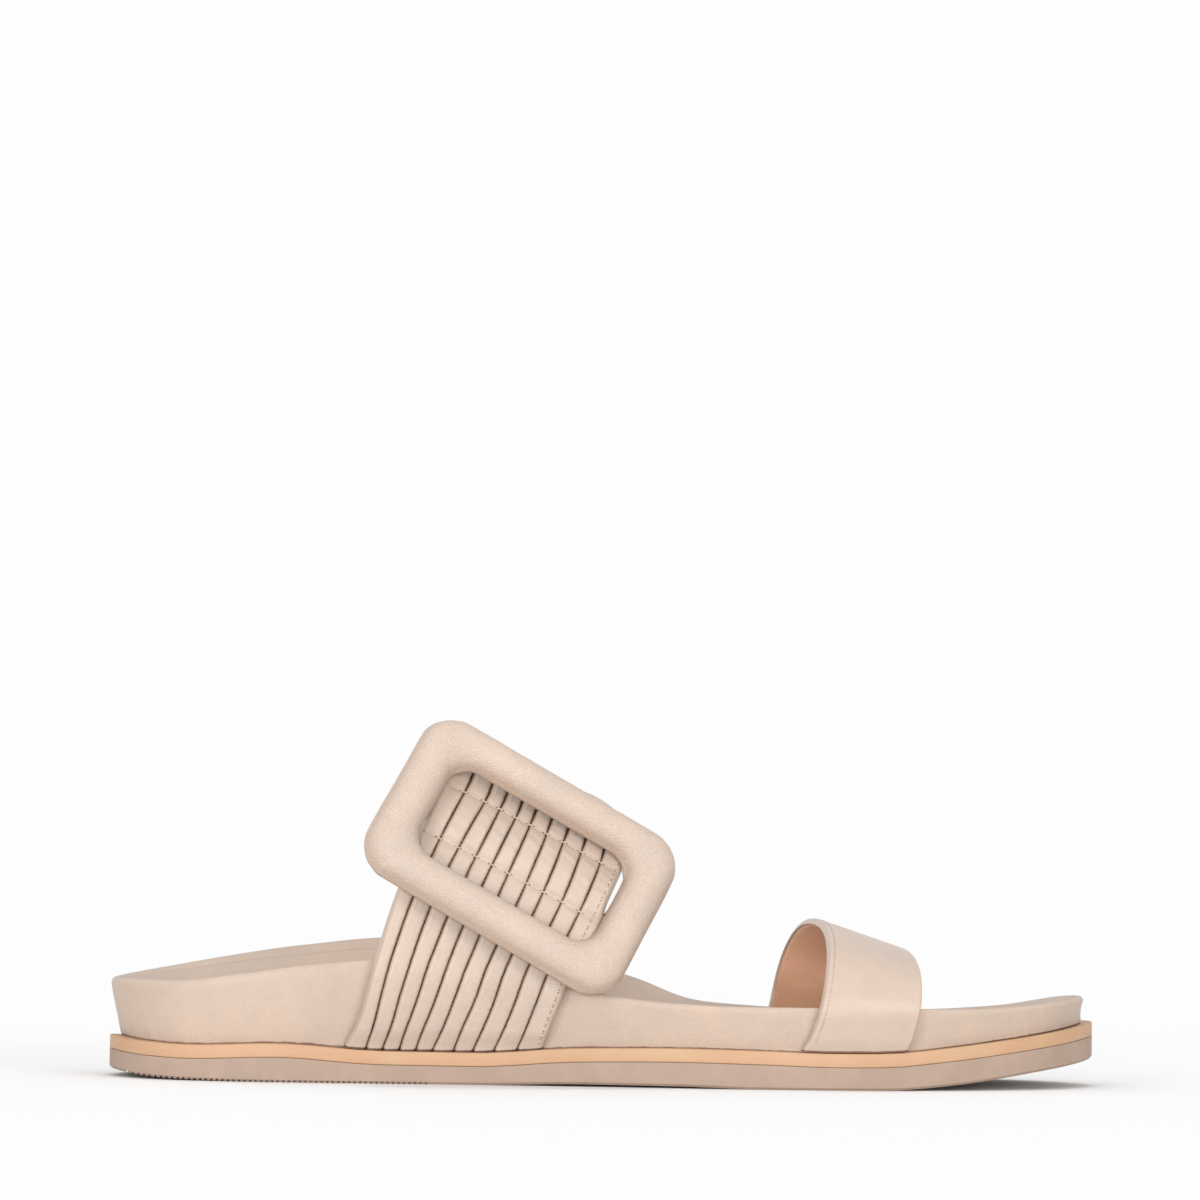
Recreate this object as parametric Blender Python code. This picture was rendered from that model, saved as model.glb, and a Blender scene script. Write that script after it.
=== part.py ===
"""Slide sandal for the right foot: two straps on a moulded, leather-wrapped footbed.

A maker joins eight pieces: outsole, midsole, footbed, insole, toe strap, instep strap, buckle frame and
buckle bar. The scene is in metres, +Z up, +X towards the toe and +Y towards the inner side of the foot.
Sizes and tables below are in millimetres. "from_heel" runs along the sole from the back of the heel,
"lateral" is the outer side of the foot and "medial" the inner side.
"""

import math
from collections import namedtuple

import bmesh
import bpy
import numpy as np

MM = 0.001

# Driving dimensions
SOLE_LENGTH = 256.0
CENTRE_SHIFT = 3.03  # moves the plan sideways, so that the whole sandal is centred on the origin
FIT_GAP = 0.3  # between pieces that meet
WALL_GAP = 0.39  # between a strap and the footbed's leaning wall, sideways
STATIONS = 56  # steps along the sole

# Plan of the sole: edges to either side of the heel's centre line
PlanRow = namedtuple("PlanRow", "from_heel lateral medial")
PLAN = (
    PlanRow(0, 0.0, 0.0),
    PlanRow(6, -19.0, 19.0),
    PlanRow(18, -28.6, 28.8),
    PlanRow(38, -33.4, 33.0),
    PlanRow(65, -34.8, 32.0),
    PlanRow(95, -37.2, 29.8),
    PlanRow(125, -41.4, 31.4),
    PlanRow(155, -45.4, 37.6),
    PlanRow(180, -46.0, 42.8),
    PlanRow(205, -41.8, 43.6),
    PlanRow(225, -34.4, 40.0),
    PlanRow(240, -25.0, 33.6),
    PlanRow(250, -12.5, 25.2),
    PlanRow(256, 7.0, 7.0),
)

# Side of the sole: flat under heel and ball, a little rise between them, toe spring in front
SoleRow = namedtuple("SoleRow", "from_heel bottom top")
SOLE_SIDE = (
    SoleRow(0, 1.9, 6.8),
    SoleRow(7, 0.8, 5.9),
    SoleRow(18, 0.3, 5.4),
    SoleRow(40, 0.0, 6.1),
    SoleRow(66, 0.0, 4.6),
    SoleRow(90, 0.0, 4.5),
    SoleRow(114, 0.6, 6.0),
    SoleRow(140, 0.5, 6.4),
    SoleRow(160, 0.0, 6.1),
    SoleRow(178, 0.0, 5.6),
    SoleRow(192, 0.0, 5.7),
    SoleRow(207, 1.0, 7.0),
    SoleRow(220, 2.5, 8.5),
    SoleRow(234, 4.5, 10.3),
    SoleRow(256, 7.4, 13.3),
)
SOLE_EDGE_BEVEL = 0.6
MIDSOLE_THICK = 3.2

# Footbed: heights of its rim on either side and of the bed between them
BedRow = namedtuple("BedRow", "from_heel lateral_rim medial_rim bed")
FOOTBED = (
    BedRow(0, 24.8, 24.8, 21.4),
    BedRow(15, 24.5, 27.2, 19.6),
    BedRow(31, 26.2, 30.0, 18.8),
    BedRow(50, 29.0, 33.0, 19.2),
    BedRow(76, 31.2, 35.5, 20.0),
    BedRow(98, 28.2, 34.0, 19.8),
    BedRow(118, 23.6, 30.9, 18.4),
    BedRow(138, 21.1, 26.1, 16.8),
    BedRow(156, 20.4, 20.0, 15.8),
    BedRow(190, 20.4, 17.9, 15.4),
    BedRow(215, 20.4, 18.0, 15.8),
    BedRow(238, 21.7, 19.8, 17.6),
    BedRow(256, 23.2, 23.2, 20.8),
)
LATERAL_DISH = 3.6  # how late the bed climbs to its rim: a higher power is a flatter bed
MEDIAL_DISH = 2.4

# Wall of the footbed: it leans out as it rises and rounds over to the rim
WALL_INSET = 2.9  # at its foot, in from the edge of the sole
WALL_LEAN = 0.25  # outwards, per millimetre of height
WALL_UPRIGHT = 18.0  # height at which the lean fades out
WallRow = namedtuple("WallRow", "share rounding")
FOOTBED_WALL = (
    WallRow(0.00, 0.0),
    WallRow(0.30, 0.0),
    WallRow(0.60, 0.0),
    WallRow(0.86, 0.0),
    WallRow(0.95, 0.35),
    WallRow(1.00, 1.7),
)
STRAP_HUG = 4  # the straps follow this many rows of the wall before they arch over the foot

# Spine of the sole, towards which its surfaces close
SPINE_FROM, SPINE_TO = 34.0, 222.0
SPINE_SIDE = -1.0

# Insole: a leather sock on the bed, its edge at a share of the way from the spine to the rim
INSOLE_THICK = 1.0
INSOLE_REACH = 0.88
BED_RINGS = (0.86, 0.62, 0.32)

# Straps: where each edge stands on the sole on either side, and its crown over the foot. Just above the
# sole an edge sweeps forward by its flare. A lean of 1 is then a straight slope to the crown; a higher
# one stands up first and leans forward higher up
STRAP_COLUMNS = "lateral_foot medial_foot flare lean crown_along crown_side crown_height"
StrapEdge = namedtuple("StrapEdge", STRAP_COLUMNS)
FLARE_HEIGHT = 6.0
INSTEP_BACK = StrapEdge(56.8, 66.0, 4.0, 1.65, 85.4, 2.0, 84.0)
INSTEP_FRONT = StrapEdge(106.6, 114.0, 0.8, 1.35, 130.0, 3.0, 59.6)
INSTEP_ARCH = {"lateral": 3.0, "medial": 2.3}  # squareness of the arch: 2 is an ellipse
INSTEP_CREASE_THICK = 1.7
INSTEP_RIB_THICK = 3.0
INSTEP_BACK_BORDER = 4.6
INSTEP_FRONT_BORDER = 6.2
INSTEP_RIBS = 8
INSTEP_RIB_PITCH = 4.975
RibRow = namedtuple("RibRow", "share swell")  # place across one rib, and share of its full height
RIB_SHAPE = (
    RibRow(0.00, 0.00),
    RibRow(0.14, 0.72),
    RibRow(0.50, 1.00),
    RibRow(0.86, 0.72),
)

TOE_BACK = StrapEdge(170.3, 173.2, 4.2, 2.00, 180.4, 4.0, 40.8)
TOE_FRONT = StrapEdge(197.8, 199.0, 2.3, 1.80, 203.4, 4.0, 33.3)
TOE_ARCH = {"lateral": 2.3, "medial": 2.3}
TOE_THICK = 2.0

# Steps of the straps' sections, in degrees round the arch from the footbed to the crown
INSTEP_ARC_STEPS = (2, 5, 10, 17, 25, 34, 44, 55, 66, 78, 90)
TOE_ARC_STEPS = (3, 8, 15, 25, 36, 49, 62, 76, 90)
INSTEP_LINING_STEPS = 8  # across the smooth inner face
TOE_STEPS = 6

# Buckle: a padded, leather-covered frame that the instep strap runs under, held by a steel bar
FRAME_LENGTH = 72.7
FRAME_HEIGHT = 48.2
FRAME_WINDOW_LENGTH = 51.2
FRAME_WINDOW_HEIGHT = 27.8
FRAME_CORNER = 9.1
FRAME_WINDOW_CORNER = 6.5
FRAME_THICK = 7.0
FRAME_BOW = 360.0  # radius to which the frame is bent over the foot
FRAME_FROM_HEEL = 100.0  # middle of its back, along the sole and above the floor
FRAME_MIDDLE_HEIGHT = 56.8
FRAME_HEADING = 10.4  # degrees by which it faces forward, leans back and turns down towards the toe
FRAME_TILT = 21.7
FRAME_TURN = 31.7
CORNER_STEPS = 6
SHORT_SIDE_STEPS = 4

BAR_RADIUS = 1.1
BAR_BACK_LEG = 28.0  # from the middle of the frame to the bar's legs, past the strap's edges
BAR_FRONT_LEG = 26.6

# Section of the frame's rails: share of the way from window to outside, and share of the thickness
RailRow = namedtuple("RailRow", "outward height")
RAIL = (
    RailRow(0.08, 0.00),
    RailRow(0.00, 0.22),
    RailRow(0.05, 0.55),
    RailRow(0.22, 0.86),
    RailRow(0.50, 1.00),
    RailRow(0.78, 0.86),
    RailRow(0.95, 0.55),
    RailRow(1.00, 0.22),
    RailRow(0.92, 0.00),
)

# Finishes: base colour, roughness and metallic value
Finish = namedtuple("Finish", "colour roughness metallic")
FINISHES = {
    "outsole": Finish((0.58, 0.43, 0.34), 0.60, 0.0),
    "midsole": Finish((0.83, 0.50, 0.29), 0.55, 0.0),
    "footbed": Finish((0.74, 0.58, 0.47), 0.50, 0.0),
    "insole": Finish((0.70, 0.54, 0.44), 0.55, 0.0),
    "toe_strap": Finish((0.78, 0.62, 0.51), 0.45, 0.0),
    "instep_strap": Finish((0.70, 0.54, 0.43), 0.48, 0.0),
    "buckle_frame": Finish((0.80, 0.64, 0.53), 0.50, 0.0),
    "buckle_bar": Finish((0.70, 0.70, 0.70), 0.25, 1.0),
}


def smooth_through(knots, values, at):
    """Monotone cubic through (knot, value) pairs: equal neighbours give an exactly flat run."""
    knots, values, at = (np.asarray(v, float) for v in (knots, values, at))
    step = np.diff(knots)
    slope = np.diff(values) / step
    tangent = np.zeros_like(values)
    tangent[0], tangent[-1] = slope[0], slope[-1]
    same_way = slope[:-1] * slope[1:] > 0
    before, after = slope[:-1][same_way], slope[1:][same_way]
    tangent[1:-1][same_way] = 2 * before * after / (before + after)
    i = np.clip(np.searchsorted(knots, at) - 1, 0, len(step) - 1)
    t = (at - knots[i]) / step[i]
    start, end = values[i], values[i + 1]
    pull = t * (1 - t) * step[i] * ((1 - t) * tangent[i] - t * tangent[i + 1])
    blend = t * t * (3 - 2 * t)
    return start + (end - start) * blend + pull


def column(rows, name):
    return [getattr(row, name) for row in rows]


def along(rows, name, from_heel):
    """A table's column at places along the sole."""
    return smooth_through(column(rows, "from_heel"), column(rows, name), from_heel)


def turn_of(from_heel):
    """Angle from 0 at the heel to pi at the toe. Both round ends are even in it."""
    share = np.clip(np.asarray(from_heel, float) / SOLE_LENGTH, 0, 1)
    return np.arccos(1 - 2 * share)


def edge_of_sole(side, from_heel):
    return smooth_through(turn_of(column(PLAN, "from_heel")), column(PLAN, side), turn_of(from_heel))


class SoleLoop:
    """The sole's outline as one loop: lateral side from heel to toe, then medial side back."""

    def __init__(self, stations=STATIONS):
        turn = np.linspace(0, math.pi, stations + 1)
        there = SOLE_LENGTH * (1 - np.cos(turn)) / 2
        back = there[-2:0:-1]
        self.from_heel = np.concatenate([there, back])
        self.is_lateral = np.arange(2 * stations) <= stations
        self.y = np.concatenate([edge_of_sole("lateral", there), edge_of_sole("medial", back)])
        ahead_x, ahead_y = np.roll(self.from_heel, -1), np.roll(self.y, -1)
        run_x, run_y = ahead_x - np.roll(self.from_heel, 1), ahead_y - np.roll(self.y, 1)
        length = np.hypot(run_x, run_y)
        self.inward = np.stack([-run_y / length, run_x / length], axis=1)
        self.spine_x = np.clip(self.from_heel, SPINE_FROM, SPINE_TO)

    def inset(self, distance):
        """Points of the outline moved inwards, as (from_heel, y)."""
        return np.stack([self.from_heel, self.y], axis=1) + distance * self.inward

    def ring(self, plan, height):
        """Points of the part from plan points and their heights."""
        x = plan[:, 0] - SOLE_LENGTH / 2
        return np.stack([x, plan[:, 1] + CENTRE_SHIFT, np.broadcast_to(height, x.shape)], axis=1)

    def spine(self, height):
        """The ring closed to the spine, its height worked out along the sole."""
        plan = np.stack([self.spine_x, np.full_like(self.spine_x, SPINE_SIDE)], axis=1)
        return self.ring(plan, height(self.spine_x))

    def towards_spine(self, ring, share):
        """A ring's plan points at a share of the way from the spine to it."""
        plan = np.stack([ring[:, 0] + SOLE_LENGTH / 2, ring[:, 1] - CENTRE_SHIFT], axis=1)
        spine = np.stack([self.spine_x, np.full_like(self.spine_x, SPINE_SIDE)], axis=1)
        return spine + share * (plan - spine)


def sole_bottom(from_heel):
    return along(SOLE_SIDE, "bottom", from_heel)


def sole_top(from_heel):
    return along(SOLE_SIDE, "top", from_heel)


def midsole_top(from_heel):
    return sole_top(from_heel) + FIT_GAP + MIDSOLE_THICK


def bed_height(from_heel):
    return along(FOOTBED, "bed", from_heel)


def footbed_wall(loop, row):
    """The ring of the footbed's wall at one row of its table."""
    foot = midsole_top(loop.from_heel) + FIT_GAP
    lateral, medial = (along(FOOTBED, name, loop.from_heel) for name in ("lateral_rim", "medial_rim"))
    rise = row.share * (np.where(loop.is_lateral, lateral, medial) - foot)
    lean = WALL_LEAN * rise / np.cbrt(1 + (rise / WALL_UPRIGHT) ** 3)
    plan = loop.inset((WALL_INSET - lean + row.rounding)[:, None])
    return loop.ring(plan, foot + rise)


def bed_ring(loop, rim, share, lift=0.0):
    """A ring of the bed at a share of the way from the spine to the rim."""
    plan = loop.towards_spine(rim, share)
    dish = np.where(loop.is_lateral, LATERAL_DISH, MEDIAL_DISH)
    bed = bed_height(loop.spine_x)
    return loop.ring(plan, bed + (rim[:, 2] - bed) * share**dish + lift)


def add_piece(name, bm):
    """A node from a bmesh in millimetres, welded, facing out and with its own finish."""
    bmesh.ops.remove_doubles(bm, verts=bm.verts, dist=1e-4)
    bmesh.ops.recalc_face_normals(bm, faces=bm.faces)
    bmesh.ops.scale(bm, vec=(MM, MM, MM), verts=bm.verts)
    mesh = bpy.data.meshes.new(name)
    bm.to_mesh(mesh)
    bm.free()
    mesh.shade_smooth()
    mesh.set_sharp_from_angle(angle=math.radians(40))
    piece = bpy.data.objects.new(name, mesh)
    bpy.context.scene.collection.objects.link(piece)
    give_finish(piece, name)
    return piece


def give_finish(piece, name):
    finish = FINISHES[name]
    material = bpy.data.materials.new(name)
    material.use_nodes = True
    shader = material.node_tree.nodes["Principled BSDF"]
    shader.inputs["Base Color"].default_value = (*finish.colour, 1.0)
    shader.inputs["Roughness"].default_value = finish.roughness
    shader.inputs["Metallic"].default_value = finish.metallic
    piece.data.materials.append(material)


def loft_rings(rings, closed=False):
    """A bmesh of quads between rings that each run round the piece. Closed joins last ring to first."""
    bm = bmesh.new()
    verts = [[bm.verts.new(point) for point in ring] for ring in rings]
    pairs = list(zip(verts, verts[1:]))
    if closed:
        pairs.append((verts[-1], verts[0]))
    for low, high in pairs:
        for i in range(len(low)):
            j = (i + 1) % len(low)
            bm.faces.new((low[i], low[j], high[j], high[i]))
    return bm


def build_outsole(loop):
    edge = loop.inset(0.0)
    bevelled = loop.inset(SOLE_EDGE_BEVEL)
    bottom = sole_bottom(loop.from_heel)
    rings = (
        loop.spine(sole_bottom),
        loop.ring(bevelled, bottom),
        loop.ring(edge, bottom + SOLE_EDGE_BEVEL),
        loop.ring(edge, sole_top(loop.from_heel)),
        loop.spine(sole_top),
    )
    return add_piece("outsole", loft_rings(rings))


def build_midsole(loop):
    edge = loop.inset(0.0)
    rings = (
        loop.spine(lambda x: sole_top(x) + FIT_GAP),
        loop.ring(edge, sole_top(loop.from_heel) + FIT_GAP),
        loop.ring(edge, midsole_top(loop.from_heel)),
        loop.spine(midsole_top),
    )
    return add_piece("midsole", loft_rings(rings))


def build_footbed(loop):
    walls = [footbed_wall(loop, row) for row in FOOTBED_WALL]
    bed = [bed_ring(loop, walls[-1], share) for share in BED_RINGS]
    rings = [loop.spine(lambda x: midsole_top(x) + FIT_GAP), *walls, *bed, loop.spine(bed_height)]
    return add_piece("footbed", loft_rings(rings))


def build_insole(loop):
    rim = footbed_wall(loop, FOOTBED_WALL[-1])
    shares = (INSOLE_REACH, *BED_RINGS[1:])
    under = [bed_ring(loop, rim, share, FIT_GAP) for share in shares]
    over = [bed_ring(loop, rim, share, FIT_GAP + INSOLE_THICK) for share in shares]
    rings = [
        loop.spine(lambda x: bed_height(x) + FIT_GAP),
        *reversed(under),
        *over,
        loop.spine(lambda x: bed_height(x) + FIT_GAP + INSOLE_THICK),
    ]
    return add_piece("insole", loft_rings(rings))


class Strap:
    """A band that stands on the midsole against both walls of the footbed and arches over the foot."""

    def __init__(self, loop, back, front, arch):
        self.back, self.front, self.arch = back, front, arch
        self.walls = {"lateral": [], "medial": []}
        for row in FOOTBED_WALL[:STRAP_HUG]:
            ring = footbed_wall(loop, row)
            for side, chosen in (("lateral", loop.is_lateral), ("medial", ~loop.is_lateral)):
                order = np.argsort(ring[chosen, 0])
                self.walls[side].append(ring[chosen][order])

    def edge(self, across, name):
        low, high = getattr(self.back, name), getattr(self.front, name)
        return low + across * (high - low)

    def place_along(self, side, across, height):
        """Where the strap is along the foot at a height, leaning from its foot to its crown."""
        foot, flare = self.edge(across, side + "_foot"), self.edge(across, "flare")
        climb = np.maximum(height - midsole_top(foot), 0)
        rise = np.minimum(climb / (self.edge(across, "crown_height") - midsole_top(foot)), 1)
        sweep = flare * (1 - np.exp(-climb / FLARE_HEIGHT))
        lean = (self.edge(across, "crown_along") - foot - flare) * rise ** self.edge(across, "lean")
        return foot + sweep + lean - SOLE_LENGTH / 2

    def on_wall(self, side, across, row):
        """The strap's inner face against one row of the footbed's wall."""
        ring = self.walls[side][row]
        x = self.edge(across, side + "_foot") - SOLE_LENGTH / 2
        for _ in range(4):
            z = np.interp(x, ring[:, 0], ring[:, 2])
            x = self.place_along(side, across, z)
        y = np.interp(x, ring[:, 0], ring[:, 1])
        outward = -1 if side == "lateral" else 1
        return np.array([x, y + outward * WALL_GAP, z + FIT_GAP])

    def on_arch(self, side, across, degrees):
        """The inner face on the arch: 0 degrees where it leaves the footbed, 90 at the crown."""
        foot = self.on_wall(side, across, STRAP_HUG - 1)
        crown_y = self.edge(across, "crown_side") + CENTRE_SHIFT
        crown_z = self.edge(across, "crown_height")
        power = 2 / self.arch[side]
        turn = math.radians(degrees)
        y = crown_y + (foot[1] - crown_y) * max(math.cos(turn), 0.0) ** power
        z = foot[2] + (crown_z - foot[2]) * math.sin(turn) ** power
        return np.array([self.place_along(side, across, z), y, z])

    def rib_line(self, across, arch_degrees):
        """The inner face from its lateral foot over the foot to its medial foot."""
        rows = range(STRAP_HUG)
        lateral = [self.on_wall("lateral", across, row) for row in rows]
        lateral += [self.on_arch("lateral", across, d) for d in arch_degrees]
        medial = [self.on_wall("medial", across, row) for row in rows]
        medial += [self.on_arch("medial", across, d) for d in arch_degrees if d < 90]
        return lateral + medial[::-1]

    def sheet(self, acrosses, arch_degrees):
        return np.array([self.rib_line(a, arch_degrees) for a in acrosses])


def between_lines(sheet, steps):
    """A faceted sheet's points with more of them set evenly on the straight runs between its lines."""
    for axis in (0, 1):
        last = sheet.shape[axis] - 1
        at = np.linspace(0, last, last * steps + 1)
        low = np.minimum(at.astype(int), last - 1)
        share = np.expand_dims(at - low, (1 - axis, 2))
        first, second = np.take(sheet, low, axis), np.take(sheet, low + 1, axis)
        sheet = first + (second - first) * share
    return sheet


def outward_normals(sheet):
    """Unit normals of a strap's sheet, pointing away from the foot."""
    across, along_rib = np.gradient(sheet, axis=0), np.gradient(sheet, axis=1)
    normal = np.cross(across, along_rib)
    return normal / np.linalg.norm(normal, axis=2, keepdims=True)


def thickened(sheet, thickness):
    """The outer face of a sheet. Both feet keep their height, so that they stand flat on the midsole."""
    outer = sheet + outward_normals(sheet) * thickness[:, None, None]
    outer[:, 0, 2], outer[:, -1, 2] = sheet[:, 0, 2], sheet[:, -1, 2]
    return outer


def band_between(inner, outer):
    """A closed bmesh between a strap's inner and outer sheets, which may differ in steps across."""
    bm = bmesh.new()
    faces = [[[bm.verts.new(p) for p in line] for line in sheet] for sheet in (inner, outer)]
    for lines, turned in zip(faces, (True, False)):
        for low, high in zip(lines, lines[1:]):
            for i in range(len(low) - 1):
                quad = (low[i], low[i + 1], high[i + 1], high[i])
                bm.faces.new(quad[::-1] if turned else quad)
    inside, outside = faces
    for end in (0, -1):
        for i in range(len(inside[0]) - 1):
            bm.faces.new((inside[end][i], inside[end][i + 1], outside[end][i + 1], outside[end][i]))
        bm.faces.new([line[end] for line in inside] + [line[end] for line in reversed(outside)])
    return bm


def rib_section():
    """The instep strap's section: places across it as shares of its width, and thickness there."""
    widths = [INSTEP_BACK_BORDER, *[INSTEP_RIB_PITCH] * INSTEP_RIBS, INSTEP_FRONT_BORDER]
    places, thicknesses = [], []
    start = 0.0
    for width in widths:
        for row in RIB_SHAPE:
            places.append(start + row.share * width)
            thicknesses.append(INSTEP_CREASE_THICK + row.swell * (INSTEP_RIB_THICK - INSTEP_CREASE_THICK))
        start += width
    places.append(start)
    thicknesses.append(INSTEP_CREASE_THICK)
    return np.array(places) / start, np.array(thicknesses)


def instep_lining(strap):
    return strap.sheet(np.linspace(0, 1, INSTEP_LINING_STEPS + 1), INSTEP_ARC_STEPS)


def build_instep_strap(strap):
    across, thickness = rib_section()
    outer = thickened(strap.sheet(across, INSTEP_ARC_STEPS), thickness)
    return add_piece("instep_strap", band_between(instep_lining(strap), outer)), outer


def build_toe_strap(strap):
    inner = strap.sheet(np.linspace(0, 1, TOE_STEPS + 1), TOE_ARC_STEPS)
    outer = thickened(inner, np.full(len(inner), TOE_THICK))
    return add_piece("toe_strap", band_between(inner, outer))


class BuckleSeat:
    """The buckle's own axes: u along its length, v up the strap and n away from the foot."""

    def __init__(self, outer):
        heading, tilt, turn = (math.radians(a) for a in (FRAME_HEADING, FRAME_TILT, FRAME_TURN))
        level = np.array([math.cos(heading), math.sin(heading), 0.0])
        facing = np.array([math.sin(heading), -math.cos(heading), 0.0])
        upright = np.array([0.0, 0.0, 1.0])
        self.n = math.cos(tilt) * facing + math.sin(tilt) * upright
        slope = math.cos(tilt) * upright - math.sin(tilt) * facing
        self.u = math.cos(turn) * level - math.sin(turn) * slope
        self.v = math.cos(turn) * slope + math.sin(turn) * level
        self.centre = np.array([FRAME_FROM_HEEL - SOLE_LENGTH / 2, -SOLE_LENGTH / 8, FRAME_MIDDLE_HEIGHT])
        for _ in range(12):  # slide sideways until the rails rest on the strap
            self.centre[1] += (self.highest_under_rails(outer) + FIT_GAP) / self.n[1]

    def local(self, points):
        return (points - self.centre) @ np.stack([self.u, self.v, self.n], axis=1)

    def highest_under_rails(self, outer):
        """How far the strap reaches up to the frame's bowed back, under its rails."""
        u, v, n = self.local(outer.reshape(-1, 3)).T
        inside = (np.abs(u) < FRAME_LENGTH / 2) & (np.abs(v) < FRAME_HEIGHT / 2)
        window = (np.abs(u) < FRAME_WINDOW_LENGTH / 2) & (np.abs(v) < FRAME_WINDOW_HEIGHT / 2)
        under = inside & ~window & (outer.reshape(-1, 3)[:, 1] < 0)
        return np.max((n + v * v / (2 * FRAME_BOW))[under])

    def world(self, u, v, n):
        bowed = n - v * v / (2 * FRAME_BOW)
        return self.centre + u * self.u + v * self.v + bowed * self.n


def rounded_rectangle(half_length, half_height, corner):
    """Points round a rectangle with round corners, with steps along its short sides."""
    points = []
    quarters = ((1, 1, 0), (-1, 1, 90), (-1, -1, 180), (1, -1, 270))
    for right, up, start in quarters:
        centre_u, centre_v = right * (half_length - corner), up * (half_height - corner)
        for step in range(CORNER_STEPS + 1):
            turn = math.radians(start + 90 * step / CORNER_STEPS)
            points.append((centre_u + corner * math.cos(turn), centre_v + corner * math.sin(turn)))
        if up * right < 0:  # a short side follows this corner
            side_v = up * (half_height - corner)
            for step in range(1, SHORT_SIDE_STEPS):
                points.append((right * half_length, side_v * (1 - 2 * step / SHORT_SIDE_STEPS)))
    return points


def build_buckle_frame(seat):
    inner = (FRAME_WINDOW_LENGTH / 2, FRAME_WINDOW_HEIGHT / 2, FRAME_WINDOW_CORNER)
    outer = (FRAME_LENGTH / 2, FRAME_HEIGHT / 2, FRAME_CORNER)
    rings = []
    for row in RAIL:
        sizes = [a + row.outward * (b - a) for a, b in zip(inner, outer)]
        height = row.height * FRAME_THICK
        rings.append([seat.world(u, v, height) for u, v in rounded_rectangle(*sizes)])
    return add_piece("buckle_frame", loft_rings(rings, closed=True))


def build_buckle_bar(seat, strap):
    """A steel wire bent to a staple: under the strap, with a leg up to each short side of the frame."""
    inner = between_lines(instep_lining(strap), 8).reshape(-1, 3)
    u, v, n = seat.local(inner[inner[:, 1] < 0]).T
    under = np.min(n[np.abs(v) < 2 * BAR_RADIUS]) - FIT_GAP - BAR_RADIUS
    top = -FIT_GAP
    bend = 2 * BAR_RADIUS
    route = []
    for leg, inwards in ((BAR_FRONT_LEG, -bend), (-BAR_BACK_LEG, bend)):
        half = [(leg, top), (leg, under + bend)]
        half += [(leg + 0.3 * inwards, under + 0.3 * bend), (leg + inwards, under)]
        route += half if inwards < 0 else half[::-1]
    curve = bpy.data.curves.new("buckle_bar", "CURVE")
    curve.dimensions = "3D"
    curve.bevel_depth = BAR_RADIUS * MM
    curve.bevel_resolution = 2
    curve.use_fill_caps = True
    spline = curve.splines.new("POLY")
    spline.points.add(len(route) - 1)
    for point, (u_side, height) in zip(spline.points, route):
        point.co = (*(seat.world(u_side, 0.0, height) * MM), 1.0)
    bar = bpy.data.objects.new("buckle_bar", curve)
    bpy.context.scene.collection.objects.link(bar)
    give_finish(bar, "buckle_bar")
    return bar


def main():
    for old in list(bpy.data.objects):
        bpy.data.objects.remove(old)
    loop = SoleLoop()
    build_outsole(loop)
    build_midsole(loop)
    build_footbed(loop)
    build_insole(loop)
    toe = Strap(loop, TOE_BACK, TOE_FRONT, TOE_ARCH)
    build_toe_strap(toe)
    instep = Strap(loop, INSTEP_BACK, INSTEP_FRONT, INSTEP_ARCH)
    _, outer = build_instep_strap(instep)
    seat = BuckleSeat(between_lines(outer, 6))
    build_buckle_frame(seat)
    build_buckle_bar(seat, instep)


main()
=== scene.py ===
import math

import bpy
import numpy as np
from mathutils import Matrix, Vector
from mathutils.bvhtree import BVHTree


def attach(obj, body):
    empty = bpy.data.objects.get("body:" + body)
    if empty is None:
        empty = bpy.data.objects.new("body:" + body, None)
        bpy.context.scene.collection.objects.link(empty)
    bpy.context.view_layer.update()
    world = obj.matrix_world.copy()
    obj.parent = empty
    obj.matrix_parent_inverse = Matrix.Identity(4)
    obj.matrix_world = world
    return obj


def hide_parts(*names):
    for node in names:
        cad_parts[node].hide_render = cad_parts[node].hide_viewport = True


# Finish of a right-foot slide sandal: leathers, ribs, stitches, welt and treaded sole around its solids.
# Lengths are metres, +X points to the toe, +Y to the inner side of the foot and +Z up. Sizes that are
# easier to read in millimetres are multiplied by MM.

MM = 0.001
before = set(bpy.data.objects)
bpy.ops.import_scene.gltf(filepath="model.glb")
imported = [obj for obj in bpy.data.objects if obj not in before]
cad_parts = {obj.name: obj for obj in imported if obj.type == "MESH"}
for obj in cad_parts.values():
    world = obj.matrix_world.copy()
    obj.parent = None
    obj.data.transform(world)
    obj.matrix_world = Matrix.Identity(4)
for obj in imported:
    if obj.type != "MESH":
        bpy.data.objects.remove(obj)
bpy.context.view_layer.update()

# Instep strap: where its nine creases lie across it, in millimetres from its back edge, at places along it
# from its lateral foot. Past the last row they run evenly over the foot to the medial side.
STRAP_WIDTH = 50.6
CREASES = {
    0: (5.5, 9.8, 14.0, 18.2, 22.4, 27.7, 32.6, 37.9, 43.8),
    5.5: (4.7, 9.2, 13.3, 17.7, 22.7, 27.6, 32.9, 38.3, 44.0),
    13: (4.1, 8.9, 13.6, 18.3, 23.1, 28.4, 33.4, 38.8, 44.2),
    22: (4.1, 9.2, 13.9, 18.7, 23.5, 28.6, 33.3, 38.7, 44.2),
    40: (4.7, 9.8, 14.9, 19.6, 24.4, 29.6, 34.5, 39.8, 45.1),
    66: (6.3, 11.9, 16.1, 20.5, 24.5, 29.1, 33.8, 38.9, 44.3),
    95: (4.6, 9.6, 14.5, 19.5, 24.5, 29.5, 34.5, 39.4, 44.4),
}
RIB_TOP = 2.75 * MM
RIB_CROWN = 0.3 * MM  # how far the middle of a rib stands above its shoulders
RIB_LEAN = 0.34 * MM  # how much higher its back side is than its front side
RIB_BEAD = 0.12 * MM  # the swell beside the crease on its back side
BEAD_PLACE = 1.0 * MM  # how far that swell lies from the crease
BEAD_WIDTH = 0.6 * MM
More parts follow.
